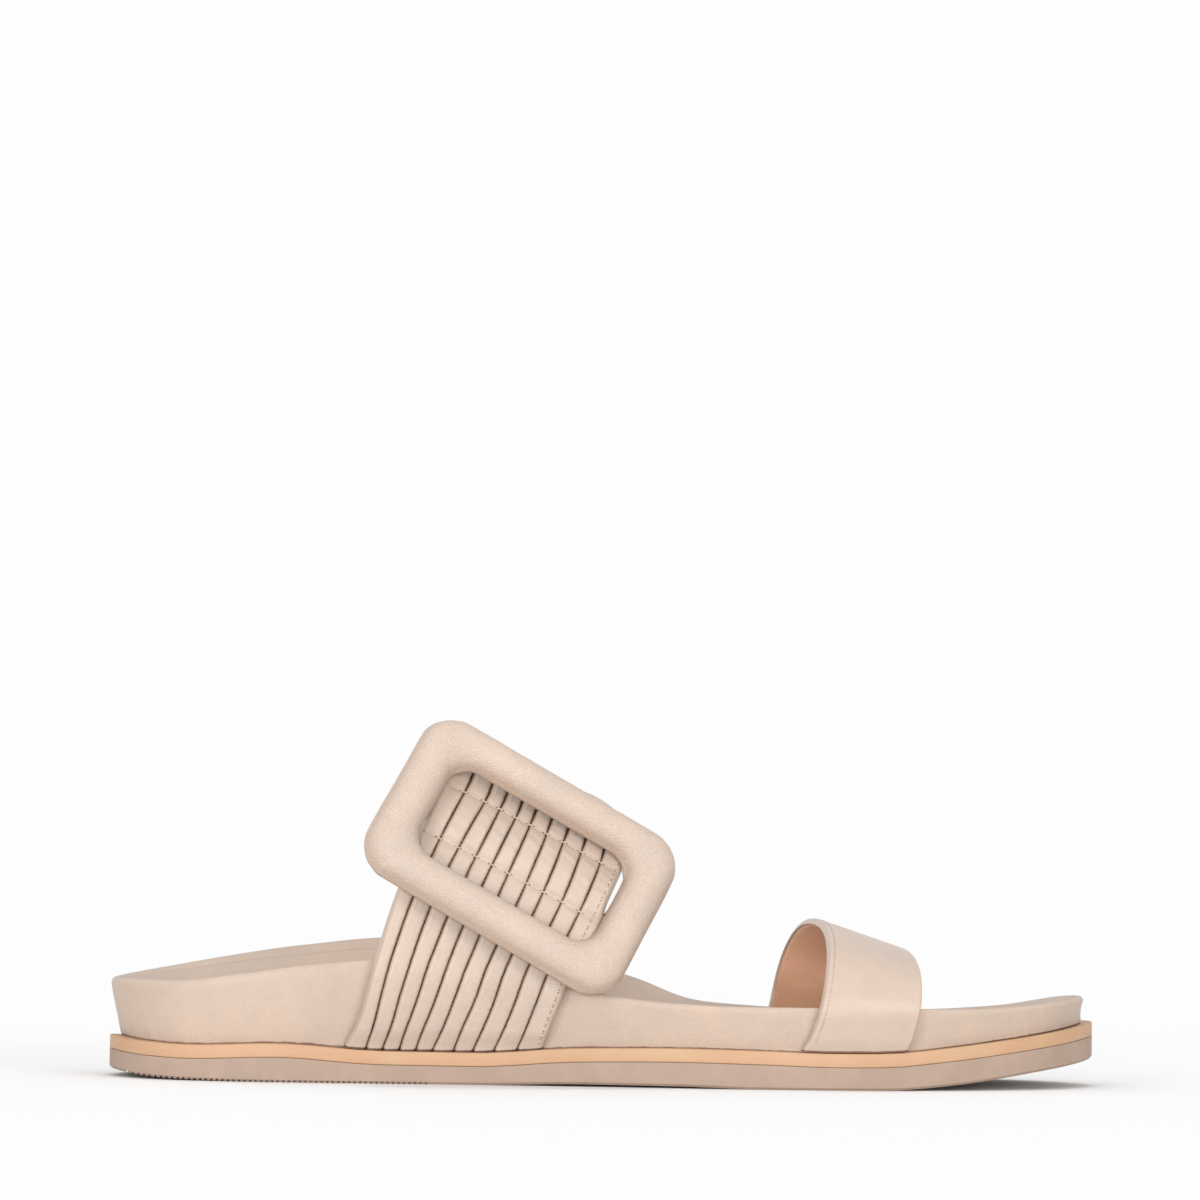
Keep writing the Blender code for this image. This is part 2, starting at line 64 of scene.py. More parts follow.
RIB_SLOW_WAVE = 0.10 * MM
RIB_RIPPLE = 0.09 * MM
RIB_SHOULDER = 0.85 * MM  # radius over which a rib rounds down into its crease
BORDER_TOP = 2.65 * MM
CREASE_FLOOR = 0.8 * MM
CREASE_SWAY = 0.08 * MM  # how far a crease bends aside on its way
CREASE_JITTER = 0.05 * MM
CREASE_TICKS = 1.05 * MM  # how far apart the small notches along a crease are
PUCKER = 0.10 * MM  # the swell between two stitches of a crease
PUCKER_REACH = 0.85 * MM
FRONT_SWELL = 1.0 * MM  # how far the front edge is pushed out in the lower half of the buckle's window
FRONT_SWELL_PLACE = 39.5 * MM
FRONT_SWELL_REACH = 6.5 * MM
EDGE_ROUNDING = 1.3 * MM
LEATHER_INSIDE = 0.25 * MM
LINING_THICK = 0.5 * MM
LINING_EDGE = 0.5 * MM
FOOT_TUCK = 0.9 * MM  # how far the strap's feet draw in behind the welt's edge
INSTEP_SETBACK = 1.6 * MM
TOE_SETBACK = 0.7 * MM
TOE_STRAP_THICK = 2.0 * MM
TOE_EDGE = 1.0 * MM
TOE_TUCK = 0.4 * MM
TOE_WRINKLE = 0.35 * MM  # folds of the toe strap's lining and how far over its feet they are
TOE_WRINKLE_PLACE = 15 * MM
TOE_WRINKLE_REACH = 3.5 * MM

# Where the creases gape under the buckle's upper rail, up the strap in the buckle's own axes
GAPE = {"from": 8 * MM, "full": 13 * MM, "until": 22 * MM, "gone": 30 * MM}
GAPE_ROUNDING = 0.8  # how much wider a rib's shoulder is there
# how much wider the creases' painted shade is where they gape
GAPE_SHADE = 0.12 * MM

# Stitches
STITCH_PITCH = 2.1 * MM
STITCH_LENGTH = 0.72 * STITCH_PITCH
STITCH_ASKEW = 0.16 * MM
CREASE_THREAD = 0.13 * MM
THREAD_SUNK = 0.08 * MM
SEAM_END = 3 * MM  # how far from a strap's feet its seams stop
EDGE_SEAMS = {
    "toe_strap": {
        "inset": 1.7 * MM,
        "start": 3 * MM,
        "pitch": 1.7 * MM,
        "length": 1.1 * MM,
        "sunk": 0.0,
        "thread": 0.1 * MM,
        "hole": 0.12 * MM,
    },
    "border": {
        "inset": 1.75 * MM,
        "start": 2 * MM,
        "pitch": 2.2 * MM,
        "length": 1.5 * MM,
        "sunk": THREAD_SUNK,
        "thread": 0.19 * MM,
        "hole": 0.2 * MM,
    },
}

# Rows of stitches that sew the instep strap round the buckle's bar, in the buckle's own axes
BAR_ROWS = (
    {"middle": 8.6 * MM, "slope": 0.012, "depth": 0.9 * MM},
    {"middle": -5.3 * MM, "slope": 0.009, "depth": 1.0 * MM},
)
ROWS_BEYOND = 20 * MM  # they lie farther than this from the strap's lateral foot
ROW_STOP = 1.2 * MM  # how far from the strap's front edge they stop
ROW_NARROW = 0.7 * MM  # the notch that they press into the ribs, and the dip round it
ROW_WIDE = 3.0 * MM
BAR_THREAD = 0.16 * MM
BAR_HOLE = 0.27 * MM
CREASE_BRIDGE = 0.9 * MM  # how far a stitch over a crease reaches to either side
PILLOW = 0.55 * MM  # how far the ribs swell between the rows
PILLOW_REACH = 4.2 * MM

WINDOW_HALF = (23 * MM, 11 * MM)  # half the buckle's opening, into which the strap swells
WINDOW_BULGE = 1.5 * MM
WINDOW_RIPPLE = 0.2 * MM

KEEPER_HALF = 20.5 * MM  # the strip over the bar, inside the strap: half its length along the bar
KEEPER_MARGIN = 1.3 * MM  # how far it reaches past the rows
KEEPER_THICK = 0.8 * MM
KEEPER_EDGE = 0.6 * MM
KEEPER_SEAM = 1 * MM  # how wide it lies flat inside the rows
BAR_PLAY = 0.1 * MM

# Padded frame
FRAME_SWELL = 0.10 * MM
LAP_HEIGHT = 0.5 * MM  # the lap of its cover, on the outer side of its upper rail
LAP_PLACE = 10.2 * MM
LAP_HALF = 3.2 * MM

# Sole: its fields of grooves are given by their distance from the heel and from the sole's edge
TREAD_PITCH = 1.36 * MM
TREAD_DEPTH = 0.62 * MM
TREAD_ROOT = 0.94  # width of a groove's mouth below the sole, as a share of the pitch
TREAD_BELOW = 0.6 * MM
TREAD_FIELDS = (
    {"start": 4 * MM, "end": 78 * MM, "inset": -6 * MM},
    {"start": 150 * MM, "end": 224 * MM, "inset": 7 * MM},
)
WELT_DROP = 0.24 * MM  # the welt is pressed down almost onto the sole
WELT_EDGE = 0.3 * MM
SOCK_DROP = 0.28 * MM
SOCK_HALF = (120 * MM, 40 * MM)  # about half its length and width
SOCK_MARGIN = 5 * MM  # its edge, which the smooth face is not fitted to
SOCK_SMOOTH = (3 * MM, 10 * MM)  # how far from its edge the smooth face sets in and is reached

# Footbed: the wrap is pleated where it turns round heel and toe, and pressed in beside the straps
BED_DROP = 0.32 * MM
HEEL_PLEATS = 26 * MM  # how far from heel and toe the pleats reach
TOE_PLEATS = 52 * MM
HEEL_CENTRE = -90 * MM  # middles of the two round ends, along the sole
TOE_CENTRE = 85 * MM
END_RADIUS = 36 * MM
PLEAT_DEPTH = 0.5 * MM
WALL_WAVE = 0.16 * MM
RIM_LIFT = 0.55 * MM  # how much higher the lateral rim stands behind the instep strap
RIM_LIFT_PLACE = 36 * MM  # from the heel
RIM_LIFT_REACH = 26 * MM
TIP_DRAW = 0.9 * MM  # how far the rim is drawn back at the toe
TIP_REACH = 11 * MM
STRAP_PRESS = 0.38 * MM  # how far the wall is pressed in, and how far from a strap's edge most of all
STRAP_PRESS_PLACE = 2.6 * MM
STRAP_PRESS_REACH = 3.4 * MM
STRAP_FEET = 34 * MM  # below this height a strap's edge lies on the bed's wall

# Wide lamps: where they stand, seen from the shoe, their strength and how wide they are in degrees
SUNS = {
    "key": {"from": (-0.75, -1.0, 0.22), "strength": 1.25, "spread": 22},
    "front": {"from": (-0.17, -1.0, 0.06), "strength": 1.5, "spread": 14},
    "fill": {"from": (0.60, -1.0, 0.20), "strength": 1.1, "spread": 24},
    "top": {"from": (0.04, 0.17, 1.0), "strength": 0.52, "spread": 14},
}
SKY = 0.985
CAMERA = {"place": (-160.67, -1184.43, 50.35), "yaw": 7.5, "pitch": 3.512, "roll": 0.965, "lens": 138.94}


def only(piece):
    """Selects one object alone."""
    bpy.ops.object.select_all(action="DESELECT")
    piece.select_set(True)
    bpy.context.view_layer.objects.active = piece


def editing(piece, *steps):
    """Runs edit-mode steps on all of a piece."""
    only(piece)
    bpy.ops.object.mode_set(mode="EDIT")
    bpy.ops.mesh.select_all(action="SELECT")
    for step in steps:
        step()
    bpy.ops.object.mode_set(mode="OBJECT")


def points_of(piece):
    flat = np.empty(len(piece.data.vertices) * 3)
    piece.data.vertices.foreach_get("co", flat)
    return flat.reshape(-1, 3)


def normals_of(piece):
    flat = np.empty(len(piece.data.vertices) * 3)
    piece.data.vertices.foreach_get("normal", flat)
    return flat.reshape(-1, 3)


def move_points(piece, points):
    piece.data.vertices.foreach_set("co", np.asarray(points, float).ravel())
    piece.data.update()


MERGE_DISTANCE = 0.002 * MM
PAIRING_ANGLE = math.radians(60)  # how far two triangles may be bent and still become a quad


def merged_copy(node, name, quads=True):
    """A new piece from a node's mesh, its loose triangles merged and, if asked for, paired to quads."""
    piece = bpy.data.objects.new(name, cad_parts[node].data.copy())
    bpy.context.scene.collection.objects.link(piece)
    piece.data.materials.clear()
    only(piece)
    bpy.ops.mesh.customdata_custom_splitnormals_clear()
    editing(
        piece,
        lambda: bpy.ops.mesh.remove_doubles(threshold=MERGE_DISTANCE),
        lambda: bpy.ops.mesh.mark_sharp(clear=True),
    )
    if quads:
        pairing = {"face_threshold": PAIRING_ANGLE, "shape_threshold": PAIRING_ANGLE}
        editing(piece, lambda: bpy.ops.mesh.tris_convert_to_quads(**pairing))
    return piece


def apply_modifier(piece, kind, **settings):
    only(piece)
    modifier = piece.modifiers.new(kind.lower(), kind)
    for name, value in settings.items():
        setattr(modifier, name, value)
    bpy.ops.object.modifier_apply(modifier=modifier.name)


ROUNDING_PASSES = 3


def rounded(piece, levels):
    """Subdivides a piece smoothly. Its points move out first, so that the smooth face passes them."""
    only(piece)
    modifier = piece.modifiers.new("rounding", "SUBSURF")
    modifier.levels = modifier.render_levels = levels
    wanted = points_of(piece)
    for _ in range(ROUNDING_PASSES):
        smooth = piece.evaluated_get(bpy.context.evaluated_depsgraph_get()).data
        reached = np.array([v.co for v in smooth.vertices[: len(wanted)]])
        move_points(piece, points_of(piece) + wanted - reached)
    bpy.ops.object.modifier_apply(modifier=modifier.name)


def shade(piece, degrees=35):
    only(piece)
    bpy.ops.object.shade_smooth_by_angle(angle=math.radians(degrees))


def mesh_piece(name, points, faces):
    mesh = bpy.data.meshes.new(name)
    mesh.from_pydata(np.asarray(points).reshape(-1, 3).tolist(), [], faces)
    piece = bpy.data.objects.new(name, mesh)
    bpy.context.scene.collection.objects.link(piece)
    return piece


def closed_tube(name, rings):
    """A closed piece from points round it and along it, with a face over each end."""
    index = np.arange(rings.shape[0] * rings.shape[1]).reshape(rings.shape[:2])
    ahead = np.roll(index, -1, axis=0)
    corners = [index[:, :-1], ahead[:, :-1], ahead[:, 1:], index[:, 1:]]
    quads = np.stack(corners, axis=-1).reshape(-1, 4).tolist()
    piece = mesh_piece(name, rings, quads + [index[::-1, 0].tolist(), index[:, -1].tolist()])
    face_outwards(piece)
    return piece


def face_outwards(piece):
    editing(piece, lambda: bpy.ops.mesh.normals_make_consistent(inside=False))


def finish_piece(piece, material, node=None):
    piece.data.materials.append(material)
    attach(piece, "root")
    if node:
        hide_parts(node)


def unit(vectors):
    return vectors / np.linalg.norm(vectors, axis=-1, keepdims=True)


def soft_step(value, low, high):
    share = np.clip((value - low) / (high - low), 0, 1)
    return share * share * (3 - 2 * share)


def bell(distance, width, power=2):
    """1 at no distance, falling to 0 past a width. A higher power is flatter inside and steeper outside."""
    return np.exp(-(np.abs(distance / width) ** power))


def wander(place, length, seed):
    """A smooth, repeatable wobble between -1 and 1 along a line, its bends about that long."""
    phases = np.random.default_rng(seed).uniform(0, 2 * math.pi, 4)
    lengths = [length * (0.4 + 0.3 * i) for i in range(len(phases))]
    waves = [np.sin(2 * math.pi * place / bend + phase) for bend, phase in zip(lengths, phases)]
    return sum(waves) / len(waves)


def through(knots, values, at):
    """A smooth curve through values at knots, along their first axis."""
    knots, at = np.asarray(knots, float), np.asarray(at, float)
    tangent = np.gradient(values, knots, axis=0)
    i = np.clip(np.searchsorted(knots, at, side="right") - 1, 0, len(knots) - 2)
    column = (-1,) + (1,) * (values.ndim - 1)
    step = (knots[i + 1] - knots[i]).reshape(column)
    t = (at - knots[i]).reshape(column) / step
    rise = t * t * (3 - 2 * t)
    pull = t * (1 - t) * step * ((1 - t) * tangent[i] - t * tangent[i + 1])
    return values[i] + (values[i + 1] - values[i]) * rise + pull


# Measuring the frame


def reach_from(start, near, allowed=None):
    """How many steps each point is from the starting ones, going from neighbour to allowed neighbour."""
    steps = {i: 0 for i in start}
    edge = list(start)
    while edge:
        fresh = []
        for i in edge:
            for j in near[i]:
                if j not in steps and (allowed is None or j in allowed):
                    steps[j] = steps[i] + 1
                    fresh.append(j)
        edge = fresh
    return steps


class StrapSheet:
    """A strap's inner face, measured on its node: across from its back to its front edge, and along from
    its lateral foot over the foot to its medial one."""

    SAMPLES_ACROSS = 171
    BEYOND = 0.03  # how far past its edges the face can be followed, as a share of its width
    FOOT_BAND = 2 * MM  # points this close above the strap's lowest one belong to its feet
    SAME_SIDE = 0.7  # cosine of the bend up to which two faces are on the same side of the wall

    def __init__(self, node):
        self.name = node
        self.grid = self.measure(node)
        lengths = np.linalg.norm(np.diff(self.grid, axis=1), axis=2).mean(axis=0)
        self.knots = np.concatenate([[0], np.cumsum(lengths)])
        self.length = self.knots[-1]
        self.width = np.linalg.norm(np.diff(self.grid, axis=0), axis=2).sum(axis=0).mean()

    def measure(self, node):
        """The inner face's points: lines along the strap, in columns that are equally far from its foot."""
        piece = merged_copy(node, "measured_strap", quads=False)
        points = points_of(piece)
        middle = points[:, 1].mean()
        lowest = points[:, 2].min()
        foot_top = lowest + self.FOOT_BAND
        under = Vector((points[:, 0].mean(), middle, lowest))
        crown = piece.ray_cast(under, Vector((0, 0, 1)))[3]
        bends = self.smooth_neighbours(piece, points, foot_top)
        inner = {i for face in reach_from([crown], bends) for i in piece.data.polygons[face].vertices}
        near = [[] for _ in points]
        for edge in piece.data.edges:
            a, b = edge.vertices
            near[a].append(b)
            near[b].append(a)
        bpy.data.objects.remove(piece)
        foot = [i for i in inner if points[i, 2] < foot_top and points[i, 1] < middle]
        steps = reach_from(foot, near, inner)
        columns = [[] for _ in range(max(steps.values()) + 1)]
        for i, column in steps.items():
            columns[column].append(points[i])
        return np.stack([sorted(column, key=lambda point: point[0]) for column in columns], axis=1)

    def smooth_neighbours(self, piece, points, foot_top):
        """For each face above the feet, the faces next to it that carry on round no sharp edge."""
        beside = {}
        for face in piece.data.polygons:
            if points[list(face.vertices), 2].max() > foot_top:
                for edge in face.edge_keys:
                    beside.setdefault(edge, []).append(face.index)
        bends = [[] for _ in piece.data.polygons]
        for pair in beside.values():
            if len(pair) == 2:
                a, b = (piece.data.polygons[i] for i in pair)
                if a.normal.dot(b.normal) > self.SAME_SIDE:
                    bends[a.index].append(b.index)
                    bends[b.index].append(a.index)
        return bends

    def spread(self, along):
        """Points and outward normals of the face at evenly spaced lines across it, at places along it."""
        across = np.linspace(-self.BEYOND, 1 + self.BEYOND, self.SAMPLES_ACROSS)
        lines = through(np.linspace(0, 1, len(self.grid)), self.grid, across)
        points = through(self.knots, lines.swapaxes(0, 1), along).swapaxes(0, 1)
        normals = unit(np.cross(np.gradient(points, axis=0), np.gradient(points, axis=1)))
        return across, points, normals

    def raised(self, across, along, height):
        """Points over the face: across and height are given for each place along it, as columns."""
        lines, points, normals = self.spread(along)
        placed = np.empty(across.shape + (3,))
        for j in range(len(along)):
            for axis in range(3):
                base = np.interp(across[:, j], lines, points[:, j, axis])
                out = np.interp(across[:, j], lines, normals[:, j, axis])
                placed[:, j, axis] = base + out * height[:, j]
        return placed


class BuckleAxes:
    """The buckle's own axes, measured on its frame: u along it, v up the strap, n away from the foot."""

    def __init__(self):
        points = np.array([v.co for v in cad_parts["buckle_frame"].data.vertices])
        points = np.unique(points.round(6), axis=0)
        self.centre = points.mean(axis=0)
        u, v, n = np.linalg.svd(points - self.centre, full_matrices=False)[2]
        self.axes = np.stack([u * np.sign(u[0]), v * np.sign(v[2]), n * np.sign(-n[1])])
        self.centre = self.centre + self.axes[2] * self.local(points)[:, 2].min()

    def local(self, points):
        return (points - self.centre) @ self.axes.T

    def world(self, local):
        return self.centre + local @ self.axes


def sole_outline():
    """The sole's lateral and medial outlines as (x, y) from heel to toe, measured on the welt."""
    points = np.array([v.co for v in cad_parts["midsole"].data.vertices])
    stations = {}
    for x, y, _ in points.round(6):
        low, high = stations.get(x, (y, y))
        stations[x] = (min(low, y), max(high, y))
    ends = (min(stations), max(stations))
    xs = np.array(sorted(x for x, (low, high) in stations.items() if high - low > MM or x in ends))
    lateral = np.array([[x, stations[x][0]] for x in xs])
    medial = np.array([[x, stations[x][1]] for x in xs])
    return xs, lateral, medial


buckle = BuckleAxes()
instep = StrapSheet("instep_strap")
toe = StrapSheet("toe_strap")


# Materials


class Value:
    """A shader socket on which Python's operators add Math nodes."""

    def __init__(self, finish, socket):
        self.finish, self.socket = finish, socket

    def math(self, operation, *values):
        return self.finish.node("Math", {"operation": operation}, dict(enumerate(values)))

    def __add__(self, other):
        return self.math("ADD", self, other)

    def __radd__(self, other):
        return self.math("ADD", other, self)

    def __sub__(self, other):
        return self.math("SUBTRACT", self, other)

    def __rsub__(self, other):
        return self.math("SUBTRACT", other, self)

    def __mul__(self, other):
        return self.math("MULTIPLY", self, other)

    def __rmul__(self, other):
        return self.math("MULTIPLY", other, self)

    def sine(self):
        return self.math("SINE", self)

    def size(self):
        return self.math("ABSOLUTE", self)

    def step(self, low, high):
        """0 below low, 1 above high and smooth between them."""
        limits = {"Value": self, "From Min": low, "From Max": high, "To Min": 0.0, "To Max": 1.0}
        return self.finish.node("MapRange", {"interpolation_type": "SMOOTHSTEP"}, limits)


class Finish:
    """A material and the nodes that are added to it."""

    def __init__(self, name, **constants):
        self.material = bpy.data.materials.new(name)
        self.material.use_nodes = True
        self.tree = self.material.node_tree
        self.shader = self.tree.nodes["Principled BSDF"]
        self.normal = self.colour = self.at = None
        for socket, value in constants.items():
            self.put(socket.replace("_", " "), value)

    def put(self, socket, value):
        """Sets or links one of the shader's sockets."""
        self.join(self.shader.inputs[socket], value)

    def join(self, target, value):
        if isinstance(value, Value):
            self.tree.links.new(value.socket, target)
        elif hasattr(target.default_value, "__len__") and len(value) < len(target.default_value):
            target.default_value = (*value, 1.0)
        else:
            target.default_value = value

    def node(self, kind, settings=None, sockets=None, output=0):
        made = self.tree.nodes.new("ShaderNode" + kind)
        for name, value in (settings or {}).items():
            setattr(made, name, value)
        for name, value in (sockets or {}).items():
            self.join(made.inputs[name], value)
        return Value(self, made.outputs[output])

    def place(self):
        return self.node("TexCoord", output="Object")

    def strap_place(self):
        return self.node("UVMap", {"uv_map": "strap"})

    def stretch(self, vector, factors):
        return self.node("VectorMath", {"operation": "MULTIPLY"}, {0: vector, 1: factors})

    def noise(self, vector, size, detail=2.0, roughness=0.5, distortion=0.0):
        sockets = {"Vector": vector, "Scale": 1 / size, "Detail": detail}
        sockets.update({"Roughness": roughness, "Distortion": distortion})
        return self.node("TexNoise", sockets=sockets)

    def cells(self, vector, size, feature="F1"):
        return self.node("TexVoronoi", {"feature": feature}, {"Vector": vector, "Scale": 1 / size})

    def attribute(self, name):
        return self.node("Attribute", {"attribute_name": name}, output="Fac")

    def blend(self, factor, first, second):
        return self.node("Mix", {"data_type": "RGBA"}, {0: factor, 6: first, 7: second}, output=2)

    def bump(self, height, depth):
        """Raises the surface by a height from 0 to 1 times a depth in metres."""
        sockets = {"Height": height, "Distance": depth, "Strength": 1.0}
        if self.normal:
            sockets["Normal"] = self.normal
        self.normal = self.node("Bump", sockets=sockets)
        self.put("Normal", self.normal)


def tint(colour, factor):
    return tuple(channel * factor for channel in colour)


DARK_DYE, LIGHT_DYE = (0.90, 0.92, 0.95), (1.08, 1.055, 1.035)


def leather(
    name,
    colour,
    roughness,
    grain=0.5 * MM,
    grain_depth=0.03 * MM,
    fold_depth=0.05 * MM,
    on_strap=False,
):
    """Dyed leather: mottled colour, pebbled grain, fine folds and a soft gloss. Returns its Finish."""
    finish = Finish(name, IOR=1.45, Specular_IOR_Level=0.35)
    place = finish.strap_place() if on_strap else finish.place()
    mottle = finish.noise(place, 22 * MM, 3.0, 0.55)
    cloud = finish.noise(place, 4.5 * MM, 4.0, 0.6)
    fine = finish.noise(place, 0.8 * MM, 3.0, 0.65)
    pebbles = finish.cells(place, grain, "DISTANCE_TO_EDGE").step(0.0, 0.28)
    folds = finish.noise(finish.stretch(place, (1.0, 1.0, 1.6)), 1.7 * MM, 3.0, 0.6, 0.6)
    shade_share = mottle.step(0.3, 0.7) * 0.5 + cloud.step(0.3, 0.7) * 0.3 + fine.step(0.3, 0.7) * 0.2
    dark, light = (tuple(np.multiply(colour, dye)) for dye in (DARK_DYE, LIGHT_DYE))
    dyed = finish.blend(shade_share, dark, light)
    finish.colour = finish.blend(0.16 * (1 - pebbles), dyed, tint(colour, 0.62))
    finish.put("Base Color", finish.colour)
    finish.put("Roughness", roughness + (cloud - 0.5) * 0.16)
    finish.bump(folds, fold_depth)
    finish.bump(pebbles, grain_depth)
    finish.at = place
    return finish


NUDE = (0.425, 0.332, 0.266)
PADDED = (0.463, 0.367, 0.302)
GRAIN_TURN = math.radians(28)  # the way the padded leather is drawn
# the lining's crown, brightened with painted light; the next colour is the painted shade towards its feet
LINING = (0.785, 0.472, 0.32)
LINING_FEET_SHADE = (0.34, 0.178, 0.096)
GLUE = (0.11, 0.040, 0.018)
# painted shade for the sides of the frame's rails
SIDE_SHADE = (0.40, 0.275, 0.195)
SHADOWED = (0.10, 0.044, 0.022)


def footbed_leather():
    finish = leather("footbed_leather", NUDE, 0.46, fold_depth=0.07 * MM)
    ragged = finish.noise(finish.at, 2.2 * MM, 3.0)
    glue = (finish.attribute("base") + (ragged - 0.5) * 0.12).step(0.88, 0.97)
    finish.put("Base Color", finish.blend(glue * 0.85, finish.colour, GLUE))
    return finish.material


def sock_leather():
    return leather("sock_leather", NUDE, 0.5, fold_depth=0.03 * MM).material


def toe_strap_leather():
    """Smooth, slightly glossy leather with a dark line of glue at the welt."""
    finish = leather(
        "toe_strap_leather",
        tint(NUDE, 1.03),
        roughness=0.36,
        grain=0.36 * MM,
        grain_depth=0.012 * MM,
        fold_depth=0.022 * MM,
        on_strap=True,
    )
    ragged = finish.noise(finish.at, 1.6 * MM, 3.0)
    glue = (finish.attribute("foot") + (ragged - 0.5) * 0.3).step(0.3, 0.7)
    finish.put("Base Color", finish.blend(glue * 0.85, finish.colour, GLUE))
    finish.put("Coat Weight", 0.15)
    finish.put("Coat Roughness", 0.3)
    return finish.material


def ribbed_leather():
    """The ribs' leather: painted shade, dark in its ragged creases and browner in a halo beside them,
    wrinkled beside them, darkest where it meets the welt.
    """
    finish = leather(
        "ribbed_leather",
        tint(NUDE, 1.01),
        roughness=0.32,
        grain=0.42 * MM,
        grain_depth=0.025 * MM,
        fold_depth=0.06 * MM,
        on_strap=True,
    )
    crease = finish.attribute("crease")
    along = finish.node("SeparateXYZ", sockets={0: finish.at}, output="Y")
    ragged = finish.noise(finish.at, 1.1 * MM, 3.0, 0.6)
    patchy = finish.noise(finish.at, 9 * MM, 2.0)
    ticks = (along * (2 * math.pi / CREASE_TICKS) + ragged * 5.0).sine()
    ticks = ticks * patchy.step(0.4, 0.65) * 0.07 + (ragged - 0.5) * 0.22
    # painted shade in the creases: a dark core, and a patchy browner halo beside it
    dark = (crease + ticks).step(0.85, 0.96)
    crease_halo_shade = (crease + ticks * 2.0).step(0.66, 0.95) * patchy.step(0.3, 0.6)
    wrinkles = finish.noise(finish.stretch(finish.at, (0.45, 1.0, 1.0)), 1.3 * MM, 2.0, 0.5, 0.8)
    finish.bump(wrinkles * (0.25 + 0.75 * crease.step(0.0, 0.8)), 0.13 * MM)
    glue = (finish.attribute("foot") + (ragged - 0.5) * 0.3).step(0.3, 0.7)
    toned_colour = finish.blend(crease_halo_shade * 0.5, finish.colour, tint(NUDE, 0.5))
    crease_shaded = finish.blend(dark * 0.9, toned_colour, SHADOWED)
    finish.put("Base Color", finish.blend(glue * 0.9, crease_shaded, tint(GLUE, 0.5)))
    finish.put("Specular IOR Level", 0.5)
    return finish.material


def padded_leather():
    """The frame's leather with painted shade round its sides, and a grain whose pebbles are drawn out one
    way.
    """
    finish = leather(
        "padded_leather",
        PADDED,
        roughness=0.42,
        grain=0.5 * MM,
        grain_depth=0.012 * MM,
        fold_depth=0.03 * MM,
    )
    turned = finish.node("Mapping", sockets={"Vector": finish.at, "Rotation": (0.0, GRAIN_TURN, 0.0)})
    drawn, streaked = (finish.stretch(turned, factors) for factors in ((0.5, 0.8, 1.0), (0.3, 0.7, 1.0)))
    pebbles = finish.cells(drawn, 0.56 * MM, "DISTANCE_TO_EDGE").step(0.0, 0.3)
    strokes = finish.noise(streaked, 0.52 * MM, 2.0, 0.5, 0.4).step(0.25, 0.75)
    finish.bump(pebbles * 0.6 + strokes * 0.5, 0.1 * MM)
    # painted shade: the rails' sides darker and warmer than their faces
    side_shaded = finish.blend(finish.attribute("side").step(0.35, 1.0) * 0.75, finish.colour, SIDE_SHADE)
    pale = finish.blend(strokes * pebbles * 0.24, side_shaded, tint(NUDE, 1.42))
    finish.put("Base Color", finish.blend((1 - pebbles) * 0.2, pale, tint(NUDE, 0.66)))
    return finish.material


def lining_leather(sheet):
    """A strap's lining: painted light at its crown, and painted shade darker towards its feet."""
    finish = leather(
        "lining_" + sheet.name,
        LINING,
        roughness=0.5,
        grain=0.5 * MM,
        grain_depth=0.03 * MM,
        fold_depth=0.07 * MM,
        on_strap=True,
    )
    along = finish.node("SeparateXYZ", sockets={0: finish.at}, output="Y")
    middle = (along * (1 / sheet.length) - 0.5).size()
    # painted shade towards the feet
    finish.put("Base Color", finish.blend(middle.step(0.30, 0.42) * 0.85, finish.colour, LINING_FEET_SHADE))
    return finish.material


def welt_board():
    finish = Finish("welt_board", IOR=1.45)
    place = finish.place()
    fibres = finish.noise(finish.stretch(place, (1.0, 1.0, 9.0)), 6 * MM, 4.0, 0.6)
    mottle = finish.noise(place, 14 * MM, 3.0)
    share = fibres.step(0.3, 0.75) * 0.5 + mottle.step(0.3, 0.7) * 0.5
    finish.put("Base Color", finish.blend(share, (0.388, 0.222, 0.120), (0.428, 0.268, 0.157)))
    finish.put("Roughness", 0.46 + fibres * 0.18)
    finish.bump(fibres, 0.06 * MM)
    return finish.material


def sole_rubber():
    finish = Finish("sole_rubber", IOR=1.5)
    place = finish.place()
    mottle = finish.noise(place, 9 * MM, 4.0, 0.6)
    specks = finish.cells(place, 0.7 * MM)
    scuffs = finish.noise(finish.stretch(place, (1.0, 1.0, 6.0)), 8 * MM, 5.0, 0.65)
    toned_colour = finish.blend(mottle.step(0.3, 0.7), (0.272, 0.193, 0.146), (0.309, 0.221, 0.168))
    finish.put("Base Color", finish.blend(scuffs.step(0.62, 0.8) * 0.3, toned_colour, (0.232, 0.164, 0.124)))
    finish.put("Roughness", 0.58 + mottle * 0.2)
    finish.bump(specks, 0.03 * MM)
    finish.bump(scuffs, 0.05 * MM)
    return finish.material


def steel_wire():
    finish = Finish("steel_wire", Metallic=1.0)
    place = finish.place()
    brushed = finish.noise(finish.stretch(place, (1.0, 6.0, 6.0)), 1.2 * MM, 3.0)
    finish.put("Base Color", finish.blend(brushed, (0.62, 0.62, 0.63), (0.80, 0.80, 0.81)))
    finish.put("Roughness", 0.16 + brushed * 0.18)
    return finish.material


def thread_fibre(name, colour):
    finish = Finish(name, Specular_IOR_Level=0.15)
    twist = finish.noise(finish.place(), 0.25 * MM, 2.0)
    finish.put("Base Color", finish.blend(twist, tint(colour, 0.85), tint(colour, 1.1)))
    finish.put("Roughness", 0.62 + twist * 0.2)
    finish.bump(twist, 0.04 * MM)
    return finish.material


# painted shade inside needle holes, as dark dots
def needle_dark():
    finish = Finish("needle_dark", Roughness=0.9)
    speckle = finish.noise(finish.place(), 0.3 * MM)
    finish.put("Base Color", finish.blend(speckle, (0.07, 0.035, 0.022), (0.16, 0.085, 0.055)))
    return finish.material


